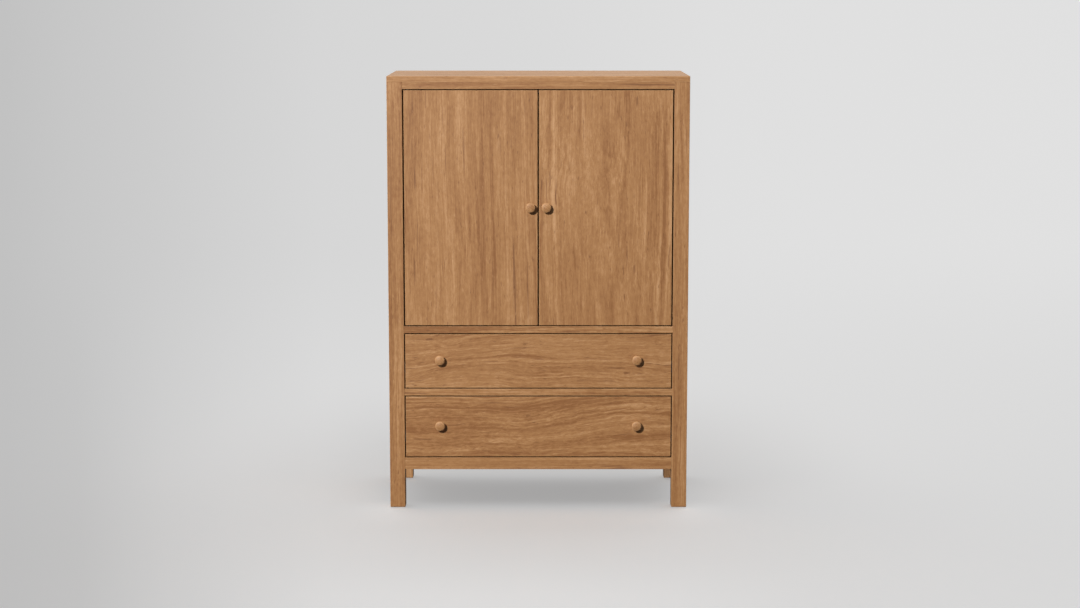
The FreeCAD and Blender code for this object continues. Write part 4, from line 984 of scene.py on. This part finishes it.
def read_screw(points):
    """The face's centre, the way it faces, the head's radius and the length of a screw."""
    low, high = extent(points)
    size = high - low
    way = max(range(3), key=lambda axis: size[axis])
    middle = (low + high) / 2
    others = [axis for axis in range(3) if axis != way]

    def width_near(end):
        near = [point for point in points if abs(point[way] - end) < NEAR_ENOUGH]
        return max(math.hypot(*(point[axis] - middle[axis] for axis in others)) for point in near)

    at_high = width_near(high[way]) > width_near(low[way])
    face = middle.copy()
    face[way] = high[way] if at_high else low[way]
    outward = Vector((0, 0, 0))
    outward[way] = 1.0 if at_high else -1.0
    return face, outward, max(size[axis] for axis in others) / 2, size[way]


def set_screws(node):
    faces, outwards, radii, lengths = zip(*(read_screw(points) for points in solids_in(node)))
    points = points_mesh(
        node + "_points", faces,
        facing=[Vector((0, 0, 1)).rotation_difference(outward).to_euler() for outward in outwards],
        pan=[1.0 if radius > PAN_FROM_RADIUS else 0.0 for radius in radii],
        head_radius=radii,
        shank_size=[(radius / 2, radius / 2, length) for radius, length in zip(radii, lengths)],
    )
    baked = bake(SCREW_TREE, points, {**PATTERNS, "Material": bright_zinc})
    keep_piece("recessed_" + node, baked, node)
    print(node, len(faces), "screws", len(baked.polygons), "faces")


for group in ("case", "left_door", "right_door", "upper_drawer", "lower_drawer"):
    set_screws(f"{group}_screws")
for pattern in PATTERNS.values():
    bpy.data.objects.remove(pattern)

# %% [markdown]
# ## The drawer slides
#
# A ball-bearing slide is three strips of steel. Each is rolled so that its bent edges hold two rows of balls
# against the next strip, and its web is punched with slots and screw holes. Cutting the holes with booleans
# would leave ragged faces, so each section is drawn as a middle line with a wall on both sides and pulled along
# the drawer's depth, and its two web faces are filled round the holes.

# %% The rolled sections of the slides
STEEL_WALL = 0.0012
OUTER_LINE = ((0.6, 17.0), (0.72, 19.4), (1.25, 20.9), (2.4, 21.7), (4.4, 21.9), (6.6, 21.7), (7.8, 21.1),
              (8.6, 20.1))
MIDDLE_LINE = ((2.3, 14.6), (2.45, 16.2), (3.1, 17.1), (4.4, 17.4), (5.8, 17.75), (7.0, 18.3), (8.4, 18.5),
               (9.7, 18.3), (10.35, 17.4))
INNER_LINE = ((12.1, 11.3), (11.95, 12.7), (11.3, 13.6), (9.8, 13.95), (8.2, 13.85), (6.6, 14.2), (5.5, 14.6),
              (4.7, 14.1))


def walled(half_line):
    """The two faces of a strip, from the upper half of its middle line, in mm across and up."""
    line = [Vector((across, -up)) / 1000 for across, up in reversed(half_line)]
    line += [Vector((across, up)) / 1000 for across, up in half_line]
    faces = [], []
    for i, point in enumerate(line):
        before = (point - line[max(i - 1, 0)]).normalized()
        after = (line[min(i + 1, len(line) - 1)] - point).normalized()
        along = (before + after).normalized()
        reach = STEEL_WALL / 2 / max(along.dot(after if after.length else before), 0.5)
        for face, sign in zip(faces, (1, -1)):
            face.append(point + Vector((-along.y, along.x)) * reach * sign)
    return faces


def slot_ring(middle, half_length, radius, sides=16):
    """The corners of a punched hole, as (along, up), round or drawn out along the strip."""
    ring = []
    for i in range(sides):
        turn = math.tau * (i + 0.5) / sides
        stretch = math.copysign(half_length, math.cos(turn))
        ring.append((middle + radius * math.cos(turn) + stretch, radius * math.sin(turn)))
    return ring


print("section corners:", [len(walled(line)[0]) * 2 for line in (OUTER_LINE, MIDDLE_LINE, INNER_LINE)])

# %% Roll and punch one strip
def roll_strip(shape, half_line, place, ends, holes):
    """Adds a strip to shape. place turns (across, along, up) into a point; holes are (middle, half length,
    radius in the first face, radius in the second face)."""
    first, second = walled(half_line)
    outline = first + second[::-1]
    web = len(half_line) - 1
    second_web = len(outline) - 2 - web
    rows = [[shape.verts.new(place(point.x, end, point.y)) for point in outline] for end in ends]
    for i, ((a, b), (c, d)) in enumerate(zip(around(rows[0]), around(rows[1]))):
        if i not in (web, second_web):
            shape.faces.new((a, b, d, c))
    for row in rows:
        shape.faces.new(row)
    rims = []
    for i, which in ((web, 2), (second_web, 3)):
        corners = [rows[0][i], rows[0][i + 1], rows[1][i + 1], rows[1][i]]
        rings = []
        for hole in holes:
            ring = slot_ring(hole[0], hole[1], hole[which])
            rings.append([shape.verts.new(place(outline[i].x, along, up)) for along, up in ring])
        pairs = [pair for loop in [corners] + rings for pair in around(loop)]
        edges = [shape.edges.get(pair) or shape.edges.new(pair) for pair in pairs]
        bmesh.ops.triangle_fill(shape, use_beauty=True, edges=edges)
        rims.append(rings)
    for near, far in zip(*rims):
        join_rings(shape, near, far)


def screw_places(node, across):
    """The screws of a node whose heads are this far from the middle, as (along, up, radius)."""
    read = [read_screw(points) for points in solids_in(node)]
    return [(face.y, face.z, radius) for face, outward, radius, length in read
            if abs(face.x - across) < NEAR_ENOUGH]


def smooth_finish(shape, name, sharp=38):
    bmesh.ops.recalc_face_normals(shape, faces=shape.faces)
    mesh = to_mesh(shape, name)
    mesh.shade_smooth()
    mesh.set_sharp_from_angle(angle=math.radians(sharp))
    return mesh


print("strip tools ready")

# %% [markdown]
# Between the strips run the balls, each in a pocket of a thin cage. A cage is one short row repeated, so a tree
# makes it: a line of points carries the balls and the cups of the pockets, and a thin strip joins them. The
# cages ride on the middle strip. The rows that roll in the outer strip sit at its back end and the others at
# its front end, where both partners are near however far the drawer is pulled.

# %% The tree of a ball cage
CAGE_PITCH = 0.0125
CAGE_BALLS = 14
OUTER_BALLS = (0.0044, 0.01965)
INNER_BALLS = (0.0082, 0.0162)
CUP_SHARE = 1.22
CUP_DEPTH_SHARE = 2.4


def make_cage_tree():
    tree, inputs = start_tree("ball_cage", {
        "Balls": CAGE_BALLS, "Pitch": CAGE_PITCH, "Ball radius": 0.0016, "Cage width": 0.0028,
        "Cage wall": 0.0005, "Material": "Material"})
    length = inputs["Balls"] * inputs["Pitch"]
    start = xyz(tree, Y=(length - inputs["Pitch"]) * -0.5)
    line = get(tree, "GeometryNodeMeshLine", {"Count": inputs["Balls"], "Start Location": start,
                                              "Offset": xyz(tree, Y=inputs["Pitch"])})
    ball = get(tree, "GeometryNodeMeshUVSphere", {"Segments": 10, "Rings": 6, "Radius": inputs["Ball radius"]})
    cup = get(tree, "GeometryNodeMeshCylinder", {"Vertices": 12, "Radius": inputs["Ball radius"] * CUP_SHARE,
                                                 "Depth": inputs["Cage wall"] * CUP_DEPTH_SHARE})
    size = xyz(tree, X=inputs["Cage width"], Y=length, Z=inputs["Cage wall"])
    row = add(tree, "GeometryNodeJoinGeometry")
    for pattern in (ball, cup):
        smooth = get(tree, "GeometryNodeSetShadeSmooth", {"Geometry": pattern, "Shade Smooth": pattern is ball})
        feed(tree, row.inputs[0], copies_on(tree, line, smooth))
    feed(tree, row.inputs[0], get(tree, "GeometryNodeMeshCube", {"Size": size}))
    cages = copies_on(tree, inputs["Geometry"], Value(tree, row.outputs[0]))
    return finish_tree(tree, cages, inputs["Material"])


CAGE_TREE = make_cage_tree()

# %% Build the slides
SLOTS = (-0.165, -0.105, 0.055, 0.125)
SLOT_HALF_LENGTH = 0.004
SLOT_RADIUS = 0.0022
ACCESS_RADIUS = 0.005
SUNK_SHARE = 0.8
INNER_FACE = 0.0115
SAME_SLIDE = 0.01
CAGE_END_GAP = 0.008


def seen_from(side, wall, height):
    """Turns a strip's (across, along, up), from the case's wall and the slide's middle, into a point."""
    return lambda across, along, up: (side * (wall - across), along, height + up)


def build_slides(drawer):
    low, high = extent(sum(solids_in(f"{drawer}_slide_outer_members"), []))
    wall, height = high.x, (low.z + high.z) / 2
    case_screws = [place for place in screw_places("case_screws", wall - STEEL_WALL)
                   if abs(place[1] - height) < SAME_SLIDE]
    drawer_screws = screw_places(f"{drawer}_drawer_screws", wall - INNER_FACE)
    slots = [(middle, SLOT_HALF_LENGTH, SLOT_RADIUS, SLOT_RADIUS) for middle in SLOTS]
    sunk = [(along, 0, radius * SUNK_SHARE, radius) for along, up, radius in case_screws]
    access = [(along, 0, ACCESS_RADIUS, ACCESS_RADIUS) for along, up, radius in case_screws]
    raised = [(along, 0, radius, radius * SUNK_SHARE) for along, up, radius in drawer_screws]
    plans = {"outer": (OUTER_LINE, sunk + slots), "middle": (MIDDLE_LINE, access),
             "inner": (INNER_LINE, raised + slots)}
    for member, (line, holes) in plans.items():
        shape = bmesh.new()
        for side in (1, -1):
            roll_strip(shape, line, seen_from(side, wall, height), (low.y, high.y), holes)
        if member == "middle":
            shape.from_mesh(cages(low.y, high.y, wall, height))
        node = f"{drawer}_slide_{member}_members"
        piece = keep_piece(f"rolled_{node}", smooth_finish(shape, node), node, zinc)
        print(node, len(holes), "holes", len(piece.data.polygons), "faces")


def cages(front, back, wall, height):
    """The rows of balls of one drawer, both sides, above and below."""
    from_end = CAGE_BALLS * CAGE_PITCH / 2 + CAGE_END_GAP
    runs = ((OUTER_BALLS, back - from_end), (INNER_BALLS, front + from_end))
    rows = [seen_from(side, wall, height)(across, middle, lift * up)
            for side in (1, -1) for up in (1, -1) for (across, lift), middle in runs]
    return bake(CAGE_TREE, points_mesh("cage_points", rows), {"Material": zinc})


for drawer in ("upper", "lower"):
    build_slides(drawer)

# %% [markdown]
# ## The magnetic catch, the cable rings and the shelf pins
#
# A magnetic catch is a plastic box with a magnet between two steel pole plates, whose edges just show in its
# front. The box starts as a cube in mesh code: its upright edges are rounded, and its front is inset and sunk
# to make the mouth. The plates are two thin bars in the mouth. The cable rings and the pins are turned shapes,
# so they only need rows of radius and depth, with small roundings where the CAD model has sharp corners.

# %% The catch
MOUTH_SIDE = 0.007
MOUTH_EDGE = 0.0025
MOUTH_SUNK = 0.0022
CORNER_ROUNDING = 0.002
POLE_HEIGHTS = (-0.0038, 0.0020)
POLE_THICK = 0.0018
POLE_DEEP = 0.002
POLE_ROUNDING = 0.0003


def bar(shape, low, high):
    """Adds a box between two corners."""
    for vert in bmesh.ops.create_cube(shape, size=1)["verts"]:
        vert.co = [low[axis] if vert.co[axis] < 0 else high[axis] for axis in range(3)]


def make_housing(low, high):
    shape = bmesh.new()
    bar(shape, low, high)
    shape.normal_update()
    upright = [edge for edge in shape.edges if abs(edge.verts[0].co.z - edge.verts[1].co.z) > NEAR_ENOUGH]
    bmesh.ops.bevel(shape, geom=upright, offset=CORNER_ROUNDING, segments=4, affect="EDGES", profile=0.5)
    shape.normal_update()
    front = max(shape.faces, key=lambda face: -face.normal.y)
    bmesh.ops.inset_region(shape, faces=[front], thickness=MOUTH_EDGE, use_even_offset=True)
    bmesh.ops.translate(shape, verts=front.verts, vec=(0, MOUTH_SUNK, 0))
    return smooth_finish(shape, "catch_housing")


def make_poles(low, high):
    shape = bmesh.new()
    for offset in POLE_HEIGHTS:
        height = (low.z + high.z) / 2 + offset
        bar(shape, (low.x + MOUTH_SIDE, low.y, height),
            (high.x - MOUTH_SIDE, low.y + MOUTH_SUNK + POLE_DEEP, height + POLE_THICK))
    bmesh.ops.bevel(shape, geom=shape.edges[:], offset=POLE_ROUNDING, segments=2, affect="EDGES")
    mesh = smooth_finish(shape, "catch_poles")
    mesh.materials.append(nickel)
    return mesh


def make_catch(node):
    low, high = extent(solids_in(node)[0])
    keep_piece("catch_housing", make_housing(low, high), node, dark_plastic)
    plates = put("catch_poles", make_poles(low, high))
    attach(plates, BODY_OF[node])
    print("catch", [round(v * 1000, 1) for v in (*low, *high)])


make_catch("door_catch")

# %% Turned rings and pins
RING_SIDES = 72
PIN_SIDES = 32
PIN_CHAMFER = 0.0006


def turn_rows(shape, rows, centre, way, sides, closed=False):
    """Turns rows of (radius, depth) about an axis. closed joins the last row to the first."""
    turned = Matrix.Translation(centre) @ way.to_track_quat("Z", "X").to_matrix().to_4x4()
    loops = [ring_of(shape, radius, depth, sides) for radius, depth in rows]
    for vert in (vert for loop in loops for vert in loop):
        vert.co = turned @ vert.co
    join_rows(shape, loops + (loops[:1] if closed else []))
    if not closed:
        shape.faces.new(loops[0])
        shape.faces.new(loops[-1])


def make_grommets(node):
    shape = bmesh.new()
    for points in solids_in(node):
        low, high = extent(points)
        centre = Vector(((low.x + high.x) / 2, low.y, (low.z + high.z) / 2))
        radii = sorted({round(math.hypot(point.x - centre.x, point.z - centre.z), 4) for point in points})
        depths = sorted({round(point.y - low.y, 4) for point in points})
        inner, flange, rim, end = radii[0], radii[-1], depths[1], depths[-1]
        neck = [radius for radius in radii if radius < flange - 0.001][-1]
        rows = [
            (inner + 0.0012, 0), (flange - 0.0012, 0), (flange - 0.0004, 0.0003), (flange, rim * 0.7),
            (flange, rim), (neck, rim), (neck, end - 0.0004), (neck - 0.0004, end), (inner + 0.0004, end),
            (inner, end - 0.0004), (inner, 0.0012), (inner + 0.0004, 0.0004),
        ]
        turn_rows(shape, rows, centre, Vector((0, 1, 0)), RING_SIDES, closed=True)
    keep_piece("turned_cable_grommets", smooth_finish(shape, node, 50), node, dark_plastic)
    print("grommets", [round(v * 1000, 1) for v in (inner, neck, flange, rim, end)])


def make_pins(node):
    shape = bmesh.new()
    for points in solids_in(node):
        low, high = extent(points)
        radius, length = (high.z - low.z) / 2, high.x - low.x
        rows = [(radius - PIN_CHAMFER, 0), (radius, PIN_CHAMFER), (radius, length - PIN_CHAMFER),
                (radius - PIN_CHAMFER, length)]
        foot = Vector((low.x, (low.y + high.y) / 2, (low.z + high.z) / 2))
        turn_rows(shape, rows, foot, Vector((1, 0, 0)), PIN_SIDES)
    keep_piece("turned_shelf_pins", smooth_finish(shape, node, 30), node, nickel)
    print("pins", round(radius * 1000, 2), round(length * 1000, 1))


make_grommets("cable_grommets")
make_pins("shelf_pins")
